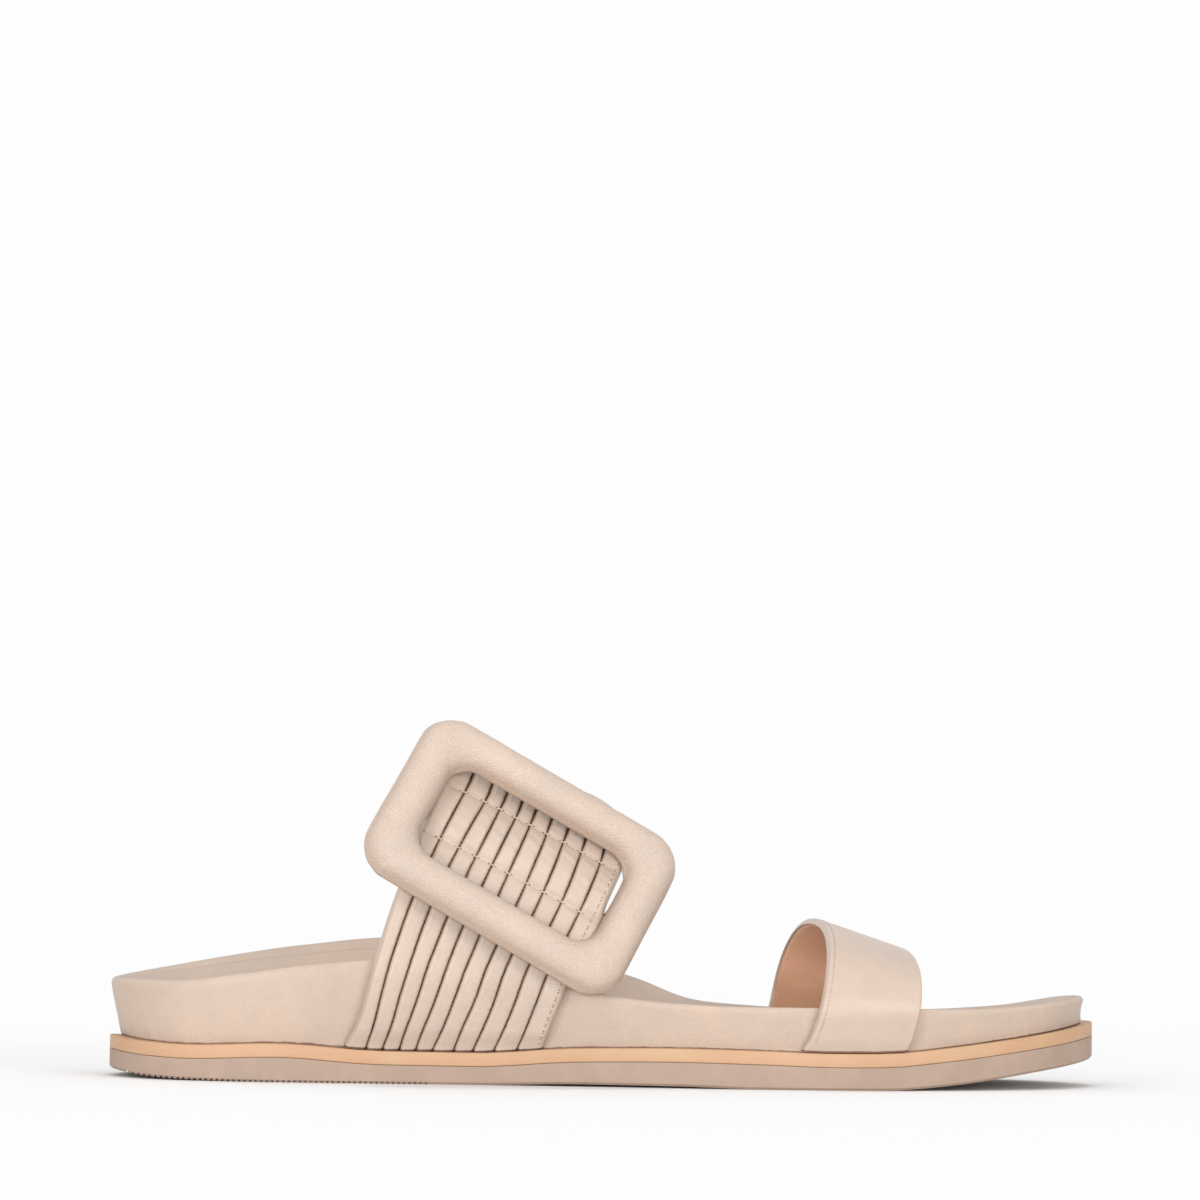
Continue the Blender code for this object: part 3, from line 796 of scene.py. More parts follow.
def floor_paper():
    """Paper just as bright as the background in the light of all lamps."""
    lamps = sum(lamp["strength"] * unit(np.array(lamp["from"]))[2] for lamp in SUNS.values()) / math.pi
    grey = SKY / (SKY + lamps)
    finish = Finish("floor_paper", Roughness=0.9, Specular_IOR_Level=0.0)
    fine = finish.noise(finish.place(), 3 * MM, 3.0)
    finish.put("Base Color", finish.blend(fine, (grey * 0.985,) * 3, (grey * 1.01,) * 3))
    return finish.material


# Sole


def build_outsole():
    """The rubber sole, with fine grooves across its heel and in a field under the ball of the foot."""
    piece = merged_copy("outsole", "treaded_outsole", quads=False)
    comb = tread_comb(piece)
    apply_modifier(piece, "BOOLEAN", operation="DIFFERENCE", object=comb, solver="EXACT")
    bpy.data.objects.remove(comb)
    shade(piece, 30)
    finish_piece(piece, sole_rubber(), "outsole")


def tread_comb(sole):
    """Three-sided rods that follow the sole's underside, one for each groove."""
    flat = BVHTree.FromObject(sole, bpy.context.evaluated_depsgraph_get())
    xs, lateral, medial = sole_outline()
    half = TREAD_ROOT * TREAD_PITCH / 2
    inside = 1.5 * MM  # the underside is measured at least this far from its edges
    rings = 9
    points, faces = [], []
    for field in TREAD_FIELDS:
        margin = max(-field["inset"], 0) + inside
        for x in np.arange(xs[0] + field["start"], xs[0] + field["end"], TREAD_PITCH):
            low = np.interp(x, lateral[:, 0], lateral[:, 1]) + field["inset"]
            high = np.interp(x, medial[:, 0], medial[:, 1]) - field["inset"]
            first = len(points)
            for y in np.linspace(low, high, rings):
                probe = min(max(y, low + margin), high - margin)
                hit = flat.ray_cast(Vector((x, probe, -20 * MM)), Vector((0, 0, 1)))[0]
                level = hit.z if hit else 0.0
                mouth = level - TREAD_BELOW
                points += [(x - half, y, mouth), (x + half, y, mouth), (x, y, level + TREAD_DEPTH)]
            for a in range(first, first + 3 * (rings - 1), 3):
                faces += [(a, a + 1, a + 4, a + 3), (a + 1, a + 2, a + 5, a + 4), (a + 2, a, a + 3, a + 5)]
            last = len(points) - 3
            faces += [(first + 2, first + 1, first), (last, last + 1, last + 2)]
    comb = mesh_piece("tread_comb", points, faces)
    face_outwards(comb)
    return comb


def build_welt():
    """The tan board between sole and footbed, its edges rubbed round."""
    piece = merged_copy("midsole", "welt_band")
    points, under = points_of(piece), normals_of(piece)[:, 2] < -0.3
    points[under, 2] -= WELT_DROP
    move_points(piece, points)
    sharp = math.radians(50)
    apply_modifier(piece, "BEVEL", width=WELT_EDGE, segments=3, limit_method="ANGLE", angle_limit=sharp)
    shade(piece, 40)
    finish_piece(piece, welt_board(), "midsole")


def base_ring(piece):
    """The points where a footbed's wall meets its underside."""
    under, wall = set(), set()
    for face in piece.data.polygons:
        (under if face.normal.z < -0.6 else wall).update(face.vertices)
    return np.array(sorted(under & wall)), np.array(sorted(under - wall))


def build_footbed():
    """The leather-wrapped bed: its wall is pleated where the wrap turns round heel and toe, and gives a
    little beside the straps."""
    piece = merged_copy("footbed", "wrapped_footbed")
    ring, underside = base_ring(piece)
    points = points_of(piece)
    points[np.concatenate([ring, underside]), 2] -= BED_DROP
    move_points(piece, points)
    on_base = np.zeros(len(points))
    on_base[ring] = 1.0
    piece.data.attributes.new("base", "FLOAT", "POINT").data.foreach_set("value", on_base)
    members = set(ring.tolist())
    sharp = [1.0 if set(edge.vertices) <= members else 0.0 for edge in piece.data.edges]
    piece.data.attributes.new("crease_edge", "FLOAT", "EDGE").data.foreach_set("value", sharp)
    rounded(piece, 2)
    points, normals = points_of(piece), normals_of(piece)
    wall = np.clip(1 - np.abs(normals[:, 2]) * 1.3, 0, 1)
    folds = wrap_folds(piece, points)
    lift_rim(points)
    shift = (folds - strap_presses(points)) * wall
    move_points(piece, points + normals * shift[:, None])
    shade(piece, 60)
    finish_piece(piece, footbed_leather(), "footbed")


def from_ends(points):
    """Distances along the sole from its heel and from its toe."""
    xs, _, _ = sole_outline()
    return points[:, 0] - xs[0], xs[-1] - points[:, 0]


def wrap_folds(piece, points):
    """Pleats low on the wall at heel and toe, and slow waves all over it."""
    base = np.empty(len(points))
    piece.data.attributes["base"].data.foreach_get("value", base)
    x, y, z = points.T
    from_heel, from_toe = from_ends(points)
    round_ends = bell(from_heel, HEEL_PLEATS) + 0.9 * bell(from_toe, TOE_PLEATS)
    turn = np.arctan2(y, np.where(x < 0, x - HEEL_CENTRE, x - TOE_CENTRE))
    arc = turn * END_RADIUS + z * 0.25
    low = np.clip(base * 1.15, 0, 1) ** 1.5
    pleats = (wander(arc, 5.2 * MM, 3) + 0.6 * wander(arc, 2.3 * MM, 4)) * low * round_ends
    waves = wander(x + 0.4 * z, 26 * MM, 7) * wander(z + 0.2 * x, 17 * MM, 8)
    return PLEAT_DEPTH * pleats + WALL_WAVE * waves


def lift_rim(points):
    """Raises the lateral rim behind the instep strap and draws the rim back at the toe."""
    from_heel, from_toe = from_ends(points)
    rim = soft_step(points[:, 2], 17 * MM, 24 * MM) * soft_step(-points[:, 1], 8 * MM, 22 * MM)
    points[:, 2] += RIM_LIFT * rim * bell(from_heel - RIM_LIFT_PLACE, RIM_LIFT_REACH)
    tip = bell(from_toe, TIP_REACH) * soft_step(points[:, 2], 15 * MM, 21 * MM)
    points[:, 0] -= TIP_DRAW * tip


def strap_presses(points):
    """How far the wall is pressed in beside the straps' edges."""
    press = np.zeros(len(points))
    for sheet, line in ((instep, 0), (instep, -1), (toe, 0), (toe, -1)):
        edge = through(sheet.knots, sheet.grid[line], np.linspace(0, sheet.length, 160))
        edge = edge[edge[:, 2] < STRAP_FEET]
        gap = np.linalg.norm(points[:, None, :] - edge[None, :, :], axis=2).min(axis=1)
        press += STRAP_PRESS * bell(gap - STRAP_PRESS_PLACE, STRAP_PRESS_REACH)
    return press


def build_sock():
    """The leather sock, laid down on the bed and stroked smooth."""
    piece = merged_copy("insole", "sock")
    rounded(piece, 2)
    points, normals = points_of(piece), normals_of(piece)
    points[:, 2] -= SOCK_DROP
    edge = points[np.abs(normals[:, 2]) < 0.7]
    inset = np.array([np.hypot(*(edge - point)[:, :2].T).min() for point in points])
    over = normals[:, 2] > 0.3
    x, y = points[:, 0] / SOCK_HALF[0], points[:, 1] / SOCK_HALF[1]
    terms = np.stack([x**i * y**j for i in range(8) for j in range(5) if i + 2 * j < 10], axis=1)
    inner = over & (inset > SOCK_MARGIN)
    fitted = terms @ np.linalg.lstsq(terms[inner], points[inner, 2], rcond=None)[0]
    points[:, 2] += np.where(over, soft_step(inset, *SOCK_SMOOTH) * (fitted - points[:, 2]), 0)
    move_points(piece, points)
    shade(piece, 60)
    finish_piece(piece, sock_leather(), "insole")


# Straps


BACK_STEPS = 26  # points across a strap's inner face
LINING_STEPS = 40


def strap_tube(name, sheet, across, along, height, inside):
    """A strap's leather as a closed tube: its outer face, then its inner face on the way back."""
    back = np.linspace(across[-1], across[0], BACK_STEPS)
    outer = sheet.raised(across, along, height)
    inner = sheet.raised(back, along, np.full(back.shape, inside))
    piece = closed_tube(name, np.concatenate([outer, inner]))
    places = np.concatenate([across, back]) * sheet.width
    lay_out(piece, places, np.broadcast_to(along, places.shape))
    return piece


def lay_out(piece, across, along):
    """Gives a strap its own map: metres across and along it."""
    layer = piece.data.uv_layers.new(name="strap")
    corners = np.empty(len(piece.data.loops), int)
    piece.data.loops.foreach_get("vertex_index", corners)
    flat = np.stack([across.ravel()[corners], along.ravel()[corners]], axis=1)
    layer.data.foreach_set("uv", flat.ravel())


def mark_near(piece, name, distance):
    """Marks a strap's outer face, from 1 at no distance to 0 at a millimetre."""
    near = np.zeros((len(distance) + BACK_STEPS, distance.shape[1]))
    near[: len(distance)] = np.clip(1 - distance / MM, 0, 1)
    piece.data.attributes.new(name, "FLOAT", "POINT").data.foreach_set("value", near.ravel())


def strap_lining(name, sheet, along, setback, wrinkle=None):
    """A thin lining inside a strap, set back from its edges and wrinkled if a function for that is given."""
    setback = setback / sheet.width
    across = np.linspace(setback, 1 - setback, LINING_STEPS)
    across = np.broadcast_to(across[:, None], (LINING_STEPS, len(along)))
    swell = wrinkle(across, along) if wrinkle else np.zeros(across.shape)
    rim = np.minimum(across - setback, 1 - setback - across) * sheet.width
    face = LINING_THICK * (1 - edge_swell(rim, LINING_EDGE)) * 0.5 + swell
    outer = sheet.raised(across, along, np.full(across.shape, LINING_THICK))
    inner = sheet.raised(across[::-1], along, face[::-1])
    piece = closed_tube(name, np.concatenate([outer, inner]))
    places = np.concatenate([across, across[::-1]]) * sheet.width
    lay_out(piece, places, np.broadcast_to(along, places.shape))
    shade(piece, 50)
    finish_piece(piece, lining_leather(sheet))


def edge_swell(distance, radius):
    """0 at a strap's edge, 1 from a rounding's radius inwards."""
    share = np.clip(distance / radius, 0, 1)
    return np.sqrt(1 - (1 - share) ** 2)


class Ribs:
    """The raised ribs of the instep strap and the creases between them, at places along it."""

    STEPS = 18  # points across a rib, closer together beside its creases
    EVEN_SHARE = 0.2  # how much of their spacing is even all the same
    SEEDS = {
        "sway": 20,
        "jitter": 50,
        "slow": 80,
        "patch": 95,
        "ripple": 110,
        "drift": 140,
        "pucker": 160,
        "window": 210,
    }

    def __init__(self, sheet, step):
        self.sheet = sheet
        self.along = np.append(np.arange(0, sheet.length, step), sheet.length)
        rows = np.array([*CREASES.values(), CREASES[max(CREASES)]]) / STRAP_WIDTH
        drawn = through([*[row * MM for row in CREASES], sheet.length], rows, self.along).T
        for k, line in enumerate(drawn):
            sway = CREASE_SWAY * wander(self.along, 34 * MM, self.SEEDS["sway"] + k)
            jitter = CREASE_JITTER * wander(self.along, 2.9 * MM, self.SEEDS["jitter"] + k)
            line += (sway + jitter) / sheet.width
        front = 1 + FRONT_SWELL / sheet.width * bell(self.along - FRONT_SWELL_PLACE, FRONT_SWELL_REACH)
        self.creases = np.concatenate([np.zeros((1, len(self.along))), drawn, front[None, :]])
        self.count = len(self.creases) - 1
        self.lines, self.points, _ = sheet.spread(self.along)
        self.local = buckle.local(self.points)
        self.lateral = np.arange(len(self.along)) < 0.5 * len(self.along)
        self.up_strap = self.local[:, :, 1].mean(axis=0)
        self.slack = bell(self.up_strap, WINDOW_HALF[1], 4) * self.lateral
        self.rows = [self.row_place(row) for row in BAR_ROWS]

    def row_place(self, row):
        """How far along the strap a row of stitches lies, for lines across it."""
        over = self.local[:, :, 1] - row["middle"] - row["slope"] * self.local[:, :, 0]
        near = self.lateral & (self.along > ROWS_BEYOND)
        return np.array([np.interp(0, line[near], self.along[near]) for line in over])

    def opened(self):
        """How far the creases gape under the buckle's upper rail, from 0 to 1."""
        begun = soft_step(self.up_strap, GAPE["from"], GAPE["full"])
        ended = soft_step(self.up_strap, GAPE["until"], GAPE["gone"])
        return np.where(self.lateral, begun * (1 - ended), 0)

    def puckered(self, off_crease, rib):
        """Small swells between the stitches of the creases, which fade out towards the middle of a rib."""
        drift = 1.7 * wander(self.along, 21 * MM, self.SEEDS["drift"] + rib)
        pull = np.cos(2 * math.pi * self.along / STITCH_PITCH + drift)
        strength = 0.6 + 0.4 * wander(self.along, 11 * MM, self.SEEDS["pucker"] + rib)
        return PUCKER * bell(off_crease, PUCKER_REACH) * pull * strength

    def rib_top(self, rib, t, width):
        """How high a rib stands at a share of its width, before its shoulders are rounded."""
        border = rib in (0, self.count - 1)
        top = BORDER_TOP if border else RIB_TOP + RIB_LEAN * (0.5 - t)
        top = top + RIB_CROWN * (1 - (2 * t - 1) ** 2)
        top = top + RIB_BEAD * bell(t * width - BEAD_PLACE, BEAD_WIDTH)
        slow = wander(self.along, 27 * MM, self.SEEDS["slow"] + rib)
        ripple = wander(self.along + 0.9 * MM * t, 5.5 * MM, self.SEEDS["ripple"] + rib)
        ripple = ripple * wander(self.along, 16 * MM, self.SEEDS["patch"] + rib)
        loose = wander(self.along + 1.6 * MM * t, 3.4 * MM, self.SEEDS["window"] + rib)
        return top + RIB_SLOW_WAVE * slow + RIB_RIPPLE * ripple + WINDOW_RIPPLE * self.slack * loose

    def heights(self):
        """Across, height and the distances from crease and foot, for each point of the outer face."""
        gape = self.opened()
        radius = RIB_SHOULDER * (1 + GAPE_ROUNDING * gape)
        closer = (1 - np.cos(np.linspace(0, math.pi, self.STEPS + 1))) / 2
        shares = (1 - self.EVEN_SHARE) * closer + self.EVEN_SHARE * np.linspace(0, 1, self.STEPS + 1)
        last = self.count - 1
        across, height, beside = [], [], []
        for rib in range(self.count):
            start, end = self.creases[rib], self.creases[rib + 1]
            width = (end - start) * self.sheet.width
            for t in shares if rib == last else shares[:-1]:
                off = {0: 1 - t, last: t}.get(rib, min(t, 1 - t)) * width
                full = (1 - (1 - np.clip(off / radius, 0, 1)) ** 2.6) ** 0.55
                top = self.rib_top(rib, t, width)
                across.append(start + t * (end - start))
                height.append(CREASE_FLOOR + (top - CREASE_FLOOR) * full + self.puckered(off, rib) * full)
                beside.append(np.maximum(off - GAPE_SHADE * gape, 0))
        across, height, beside = np.array(across), np.array(height), np.array(beside)
        height = self.sewn(across, height)
        foot = np.broadcast_to(np.minimum(self.along, self.sheet.length - self.along), height.shape)
        tuck = FOOT_TUCK * (1 - soft_step(foot, 0.5 * MM, 6 * MM))
        height = height - tuck * np.clip(height / RIB_TOP, 0, 1)
        rim = np.minimum(across, self.creases[-1] - across) * self.sheet.width
        height = LEATHER_INSIDE + (height - LEATHER_INSIDE) * edge_swell(rim, EDGE_ROUNDING)
        return across, height, beside, foot

    def sewn(self, across, height):
        """Presses the ribs down along the two rows of stitches and lets them swell between the rows."""
        for row, place in zip(BAR_ROWS, self.rows):
            off = self.along - np.interp(across, self.lines, place)
            sunk = 0.55 * bell(off, ROW_NARROW, 1.5) + 0.45 * bell(off, ROW_WIDE)
            height = height - row["depth"] * sunk * self.above_floor(height)
        off = self.along - np.interp(across, self.lines, (self.rows[0] + self.rows[1]) / 2)
        pillow = PILLOW * bell(off, PILLOW_REACH) * self.above_floor(height)
        u, v = self.local[:, :, 0], self.local[:, :, 1]
        opening = bell(u, WINDOW_HALF[0], 6) * bell(v, WINDOW_HALF[1], 4) * self.lateral
        columns = zip(across.T, opening.T)
        bulge = np.stack([np.interp(places, self.lines, column) for places, column in columns], axis=1)
        return height + pillow + WINDOW_BULGE * bulge

    @staticmethod
    def above_floor(height):
        return (height - CREASE_FLOOR) / (RIB_TOP - CREASE_FLOOR)


def build_ribbed_strap():
    """The ribbed strap and its lining. Returns what its stitches are placed by."""
    ribs = Ribs(instep, 0.6 * MM)
    across, height, beside, foot = ribs.heights()
    piece = strap_tube("ribbed_strap", instep, across, ribs.along, height, LEATHER_INSIDE)
    # the crease mark places the creases' painted shade and their wrinkles
    mark_near(piece, "crease", beside)
    mark_near(piece, "foot", foot)
    shade(piece, 70)
    finish_piece(piece, ribbed_leather(), "instep_strap")
    strap_lining("ribbed_strap_lining", instep, ribs.along[::2], INSTEP_SETBACK)
    return ribs, OuterFace(instep, across, ribs.along, height)


def build_toe_strap():
    """The plain toe strap with its lining and the seam along its back edge."""
    seam = EDGE_SEAMS["toe_strap"]["inset"]
    along = np.append(np.arange(0, toe.length, 0.7 * MM), toe.length)
    rim_share = 0.08  # of the strap's width, at either edge, where points lie closer together
    back_rim, front_rim = np.linspace(0, rim_share, 17)[:-1], np.linspace(1 - rim_share, 1, 17)[1:]
    t = np.concatenate([back_rim, np.linspace(rim_share, 1 - rim_share, 46), front_rim])
    across = np.broadcast_to(t[:, None], (len(t), len(along)))
    rim = np.minimum(across, 1 - across) * toe.width
    soft = 0.05 * MM * wander(along, 24 * MM, 5)[None, :] * wander(across * toe.width, 19 * MM, 6)
    groove = 0.05 * MM * bell(across * toe.width - seam, 0.4 * MM)
    foot = np.broadcast_to(np.minimum(along, toe.length - along), across.shape)
    tuck = TOE_TUCK * (1 - soft_step(foot, 0.3 * MM, 4 * MM))
    raised = TOE_STRAP_THICK - LEATHER_INSIDE + soft - groove - tuck
    height = LEATHER_INSIDE + raised * edge_swell(rim, TOE_EDGE)
    piece = strap_tube("toe_strap_leather", toe, across, along, height, LEATHER_INSIDE)
    mark_near(piece, "foot", foot)
    shade(piece, 70)
    finish_piece(piece, toe_strap_leather(), "toe_strap")
    strap_lining("toe_strap_lining", toe, along[::2], TOE_SETBACK, toe_wrinkle)
    face = OuterFace(toe, across, along, height)
    sew_edge("toe_strap", toe, face, seam / toe.width, thread_fibre("nude_thread", NUDE))


def toe_wrinkle(across, along):
    """Folds of the toe strap's lining over its feet, all of them inwards."""
    near_foot = np.minimum(along, toe.length - along)
    fold = bell(near_foot - TOE_WRINKLE_PLACE, TOE_WRINKLE_REACH)
    return TOE_WRINKLE * fold * (wander(along + 0.9 * MM * np.sin(5 * across), 3 * MM, 9) - 0.7)


# Stitches


def threads(name, starts, ends, outward, radius, material):
    """Stitches as short arched threads between their two needle holes, joined into one piece."""
    shares = np.array([0.0, 0.14, 0.5, 0.86, 1.0])
    lifts = np.array([-1.3, 0.25, 0.6, 0.25, -1.3]) * radius
    thicks = np.array([0.75, 1.0, 1.0, 1.0, 0.75]) * radius
    sides = 6
    run = unit(ends - starts)
    beside = unit(np.cross(outward, run))
    rise = np.cross(run, beside)
    turn = np.linspace(0, 2 * math.pi, sides, endpoint=False)
    points, faces = [], []
    for i in range(len(starts)):
        first = len(points)
        for share, lift, thick in zip(shares, lifts, thicks):
            middle = starts[i] + share * (ends[i] - starts[i]) + lift * outward[i]
            for angle in turn:
                points.append(middle + thick * (math.cos(angle) * beside[i] + math.sin(angle) * rise[i]))
        for k in range(len(shares) - 1):
            for s in range(sides):
                a, b = first + k * sides + s, first + k * sides + (s + 1) % sides
                faces.append((a, b, b + sides, a + sides))
        faces.append(tuple(range(first + sides - 1, first - 1, -1)))
        faces.append(tuple(range(len(points) - sides, len(points))))
    piece = mesh_piece(name, np.array(points), faces)
    face_outwards(piece)
    shade(piece, 60)
    finish_piece(piece, material)


def holes(name, places, outward, radius):
    """Needle holes as small dots painted dark as the shade inside a hole, hardly raised on the leather."""
    sides = 8
    edge_lift, middle_lift = 0.01 * MM, 0.05 * MM
    aslant = (0.3, 0.5, 0.81)  # a direction that no hole points in
    points, faces = [], []
    for place, out in zip(places, outward):
        first = len(points)
        side = unit(np.cross(out, aslant))
        other = np.cross(out, side)
        for angle in np.linspace(0, 2 * math.pi, sides, endpoint=False):
            spoke = math.cos(angle) * side + math.sin(angle) * other
            points.append(place + radius * spoke + out * edge_lift)
        points.append(place + out * middle_lift)
        for s in range(sides):
            faces.append((first + s, first + (s + 1) % sides, first + sides))
        faces.append(tuple(range(first + sides - 1, first - 1, -1)))
    finish_piece(mesh_piece(name, np.array(points), faces), needle_dark())


class OuterFace:
    """A strap's finished outer face: points and normals at places across and along it."""

    def __init__(self, sheet, across, along, height):
        self.across, self.along = across, along
        points = sheet.raised(across, along, height)
        normals = sheet.raised(across, along, height + MM) - points
        self.grid = np.concatenate([points, normals], axis=2)

    def column(self, k, across):
        return np.array([np.interp(across, self.across[:, k], values) for values in self.grid[:, k].T])

    def at(self, across, along):
        """Points and outward normals at paired places."""
        found = []
        for a, s in zip(across, along):
            k = int(np.clip(np.searchsorted(self.along, s), 1, len(self.along) - 1))
            share = (s - self.along[k - 1]) / (self.along[k] - self.along[k - 1])
            found.append((1 - share) * self.column(k - 1, a) + share * self.column(k, a))
        found = np.array(found)
        return found[:, :3], unit(found[:, 3:])


def sew_edge(name, sheet, face, edge, thread):
    """A seam along a strap's edge: its stitches and their needle holes."""
    seam = EDGE_SEAMS[name]
    places = np.arange(seam["start"], sheet.length - SEAM_END, seam["pitch"])
    line = np.full(len(places), edge)
    a, out = face.at(line, places)
    b, _ = face.at(line, places + seam["length"])
    sunk = out * seam["sunk"]
    threads(name + "_stitches", a - sunk, b - sunk, out, seam["thread"], thread)
    holes(name + "_holes", np.concatenate([a, b]), np.concatenate([out, out]), seam["hole"])


def sew_creases(ribs, face, thread):
    """Stitches sunk into the creases, each a little askew."""
    starts, ends = [], []
    for k in range(1, ribs.count):
        rng = np.random.default_rng(300 + k)
        for s in np.arange(SEAM_END, instep.length - SEAM_END, STITCH_PITCH):
            lean = rng.uniform(-STITCH_ASKEW, STITCH_ASKEW, 2) / instep.width
            line = np.interp(s, ribs.along, ribs.creases[k])
            starts.append((line + lean[0], s))
            ends.append((line + lean[1], s + STITCH_LENGTH))
    a, out = face.at(*np.array(starts).T)
    b, _ = face.at(*np.array(ends).T)
    sunk = out * THREAD_SUNK
    threads("crease_stitches", a - sunk, b - sunk, out, CREASE_THREAD, thread)


def sew_bar_rows(ribs, face, thread):
    """The rows that hold the bar: a long stitch over each rib and a short one over each crease."""
    reach = CREASE_BRIDGE / instep.width
    stop = 1 - ROW_STOP / instep.width
    starts, ends = [], []
    for place in ribs.rows:
        middle = np.interp(0.5, ribs.lines, place)
        edges = [np.interp(middle, ribs.along, crease) for crease in ribs.creases]
        for low, high in zip(edges, edges[1:]):
            for first, second in ((low + reach, high - reach), (high - reach, high + reach)):
                if second < stop:
                    starts.append((first, np.interp(first, ribs.lines, place)))
                    ends.append((second, np.interp(second, ribs.lines, place)))
    a, out = face.at(*np.array(starts).T)
    b, out_b = face.at(*np.array(ends).T)
    threads("bar_stitches", a, b, out, BAR_THREAD, thread)
    holes("bar_holes", np.concatenate([a, b]), np.concatenate([out, out_b]), BAR_HOLE)


def build_stitches(ribs, face):
    """All seams of the instep strap. Returns the thread that also sews the keeper."""
    pale = thread_fibre("pale_thread", (0.50, 0.38, 0.30))
    # the creases' thread is coloured dark with the creases' painted shade
    crease_thread_shaded = thread_fibre("deep_thread", (0.17, 0.08, 0.038))
    sew_creases(ribs, face, crease_thread_shaded)
    sew_edge("border", instep, face, 1 - EDGE_SEAMS["border"]["inset"] / instep.width, pale)
    sew_bar_rows(ribs, face, pale)
    return pale


# Buckle


def build_buckle():
    """The padded frame: smooth round rails and a lap where its cover closes."""
    piece = merged_copy("buckle_frame", "padded_frame")
    for u in np.linspace(-16, 16, 7) * MM:
        cut = {"plane_co": buckle.world(np.array([u, 0, 0])), "plane_no": buckle.axes[0]}
        editing(piece, lambda: bpy.ops.mesh.bisect(**cut))
    rounded(piece, 2)
    editing(piece, lambda: bpy.ops.mesh.vertices_smooth(factor=0.5, repeat=4))
    points, normals = points_of(piece), normals_of(piece)
    u, v, n = buckle.local(points).T
    swell = wander(u + 0.3 * v, 14 * MM, 31) * wander(v - 0.2 * u, 12 * MM, 32)
    outer_side = soft_step(v, 21 * MM, 23.5 * MM) * (1 - soft_step(n, 3 * MM, 6 * MM))
    lap = bell(u - LAP_PLACE, LAP_HALF, 6) * outer_side
    shift = FRAME_SWELL * swell + LAP_HEIGHT * lap
    move_points(piece, points + normals * shift[:, None])
    # marks the frame's sides for their painted shade
    side = piece.data.attributes.new("side", "FLOAT", "POINT")
    side.data.foreach_set("value", 1 - np.abs(normals @ buckle.axes[2]))
    shade(piece, 60)
    finish_piece(piece, padded_leather(), "buckle_frame")


class Staple:
    """The steel bar's measures in the buckle's axes: its legs, its run under the strap and its thickness."""

    def __init__(self):
        points = np.array([vertex.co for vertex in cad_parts["buckle_bar"].data.vertices])
        u, v, n = buckle.local(points).T
        self.radius = (v.max() - v.min()) / 2
        self.middle = (v.max() + v.min()) / 2
        self.legs = (u.max() - self.radius, u.min() + self.radius)
        self.under, self.top = n.min() + self.radius, n.max()


def build_bar(staple):
    """The steel bar as a wire with round bends."""
    bend = 2 * staple.radius
    front, back = staple.legs
    turn = np.linspace(0, math.pi / 2, 9)
    level = staple.under + bend * (1 - np.sin(turn))
    ahead = front - bend * (1 - np.cos(turn))
    behind = back + bend * (1 - np.cos(turn[::-1]))
    u = np.concatenate([[front], ahead, behind, [back]])
    n = np.concatenate([[staple.top], level, level[::-1], [staple.top]])
    route = np.stack([u, np.full(len(u), staple.middle), n], axis=1)
    side = np.array([0.0, 1.0, 0.0])
    beside = np.cross(side, unit(np.gradient(route, axis=0)))
    angles = np.linspace(0, 2 * math.pi, 16, endpoint=False)[:, None, None]
    rings = route[None] + staple.radius * (np.cos(angles) * beside[None] + np.sin(angles) * side)
    piece = closed_tube("steel_bar", buckle.world(rings))
    shade(piece, 50)
    finish_piece(piece, steel_wire(), "buckle_bar")


def keeper_terms(u, v):
    """Terms of a smooth surface over the buckle's plane."""
    along, up = u / (20 * MM), v / (10 * MM)
    return np.stack([along**i * up**j for i in range(3) for j in range(5)], axis=-1)


def strap_inside_buckle(staple):
    """The strap's inner face under the buckle, as factors of the keeper's terms."""
    along = np.arange(0, 0.5 * instep.length, MM)
    u, v, n = buckle.local(instep.spread(along)[1].reshape(-1, 3)).T
    near = (np.abs(v) < 16 * MM) & (n > staple.under - 12 * MM)
    return np.linalg.lstsq(keeper_terms(u[near], v[near]), n[near], rcond=None)[0]


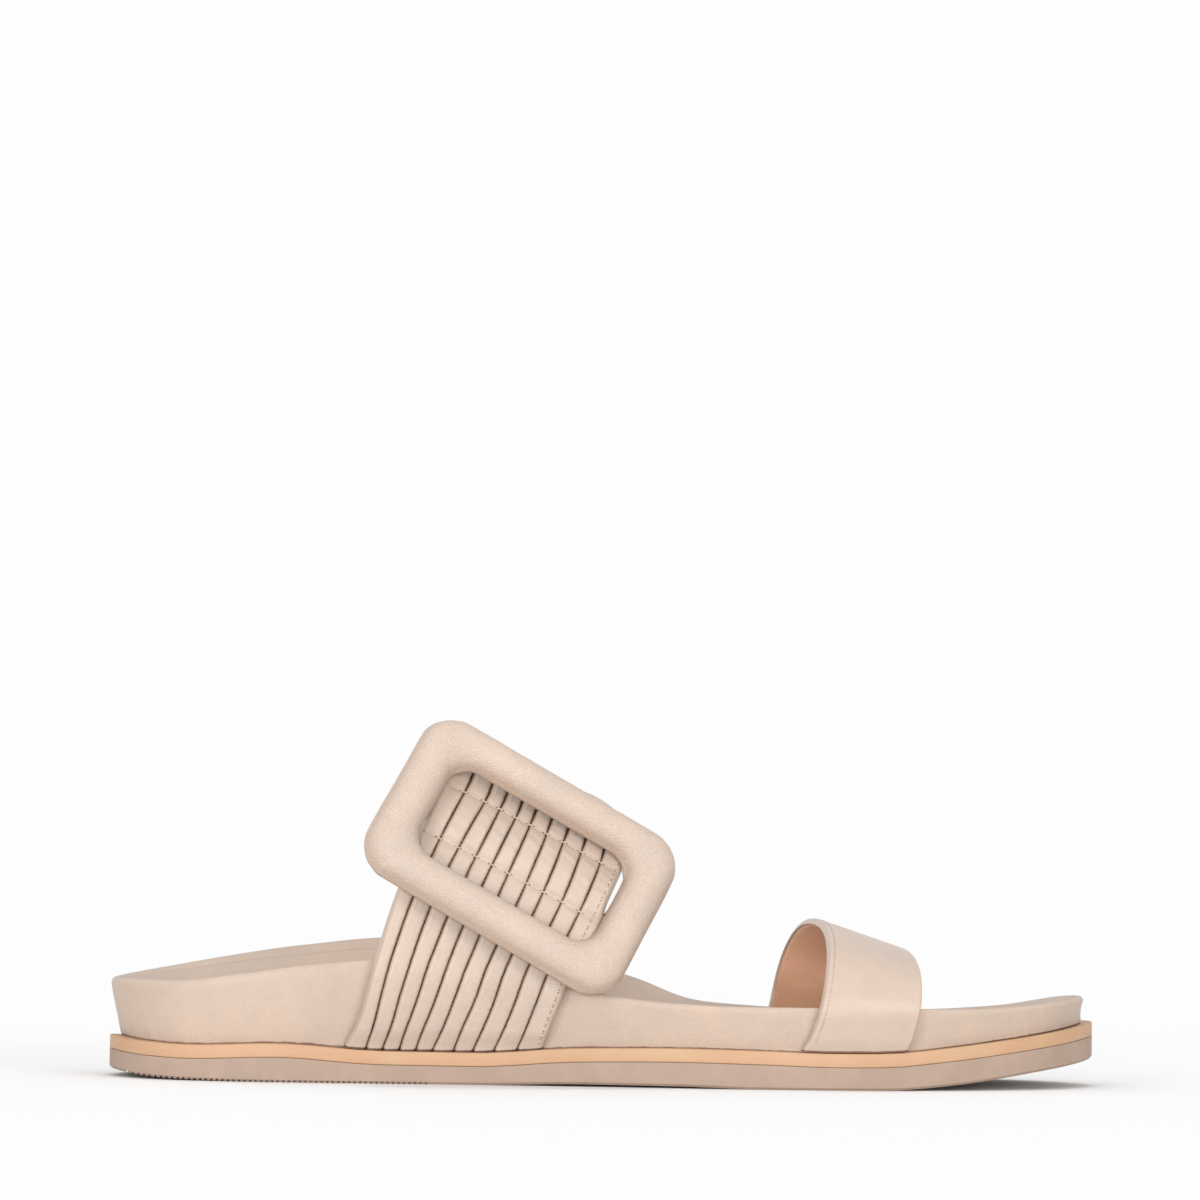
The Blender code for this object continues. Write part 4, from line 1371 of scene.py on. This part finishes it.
def build_keeper(staple, thread):
    """The leather strip inside the strap that holds the bar, sewn on by the two rows of stitches."""
    shape = strap_inside_buckle(staple)
    upper, lower = (row["middle"] for row in BAR_ROWS)
    high, low = upper + KEEPER_MARGIN, lower - KEEPER_MARGIN
    up, along = np.linspace(high, low, 49), np.linspace(-KEEPER_HALF, KEEPER_HALF, 57)
    v, u = np.meshgrid(up, along, indexing="ij")
    over = v - staple.middle
    share = np.where(over > 0, over / (upper - KEEPER_SEAM), over / (lower + KEEPER_SEAM))
    bump = 0.5 + 0.5 * np.cos(math.pi * np.clip(share, 0, 1))
    rim = np.minimum(np.minimum(high - v, v - low), KEEPER_HALF - np.abs(u))
    thick = KEEPER_THICK * edge_swell(rim, KEEPER_EDGE)
    over_bar = keeper_terms(u, np.full(v.shape, staple.middle)) @ shape
    reach = over_bar - staple.under + staple.radius + BAR_PLAY
    soft = 0.12 * wander(u, 9 * MM, 61) * wander(v, 7 * MM, 62)
    face = keeper_terms(u, v) @ shape - bump * reach
    far = face - thick * (1 + soft) - 0.05 * MM
    near = face + BAR_PLAY
    rings = np.concatenate([np.stack([u, v, far], axis=-1), np.stack([u, v, near], axis=-1)[::-1]])
    piece = closed_tube("bar_keeper", buckle.world(rings))
    shade(piece, 50)
    finish_piece(piece, leather("keeper_leather", tint(NUDE, 0.95), 0.48).material)
    places = buckle.world(np.stack([u, v, far], axis=-1))
    starts, ends = [], []
    for row in BAR_ROWS:
        line = places[int(np.argmin(np.abs(up - row["middle"])))]
        for j in range(2, len(along) - 4, 4):
            starts.append(line[j])
            ends.append(line[j + 3])
    inwards = np.tile(-buckle.axes[2], (len(starts), 1))
    threads("keeper_stitches", np.array(starts), np.array(ends), inwards, BAR_THREAD, thread)


# Stage


def build_camera():
    yaw, pitch, roll = (math.radians(CAMERA[name]) for name in ("yaw", "pitch", "roll"))
    ahead = Vector((math.sin(yaw) * math.cos(pitch), math.cos(yaw) * math.cos(pitch), math.sin(pitch)))
    right = Vector((math.cos(yaw), -math.sin(yaw), 0))
    up = right.cross(ahead)
    side = math.cos(roll) * right + math.sin(roll) * up
    top = -math.sin(roll) * right + math.cos(roll) * up
    bpy.ops.object.camera_add()
    camera = bpy.context.object
    turned = Matrix((side, top, -ahead)).transposed().to_4x4()
    camera.matrix_world = Matrix.Translation(Vector(CAMERA["place"]) * MM) @ turned
    camera.data.lens, camera.data.sensor_width = CAMERA["lens"], 36.0
    bpy.context.scene.camera = camera


def build_stage():
    bpy.ops.mesh.primitive_plane_add(size=8.0)
    floor = bpy.context.object
    floor.name = "floor"
    floor.data.materials.append(floor_paper())
    world = bpy.data.worlds.new("studio")
    bpy.context.scene.world = world
    world.use_nodes = True
    sky = world.node_tree.nodes["Background"]
    sky.inputs["Color"].default_value = (1.0, 1.0, 1.0, 1.0)
    sky.inputs["Strength"].default_value = SKY
    for name, lamp in SUNS.items():
        bpy.ops.object.light_add(type="SUN")
        sun = bpy.context.object
        sun.name = name
        sun.data.energy, sun.data.angle = lamp["strength"], math.radians(lamp["spread"])
        sun.rotation_euler = (-Vector(lamp["from"])).to_track_quat("-Z", "Y").to_euler()
    bpy.context.scene.view_settings.view_transform = "Standard"


build_camera()
build_stage()
build_outsole()
build_welt()
build_footbed()
build_sock()
build_toe_strap()
pale_thread = build_stitches(*build_ribbed_strap())
build_buckle()
staple = Staple()
build_bar(staple)
build_keeper(staple, pale_thread)
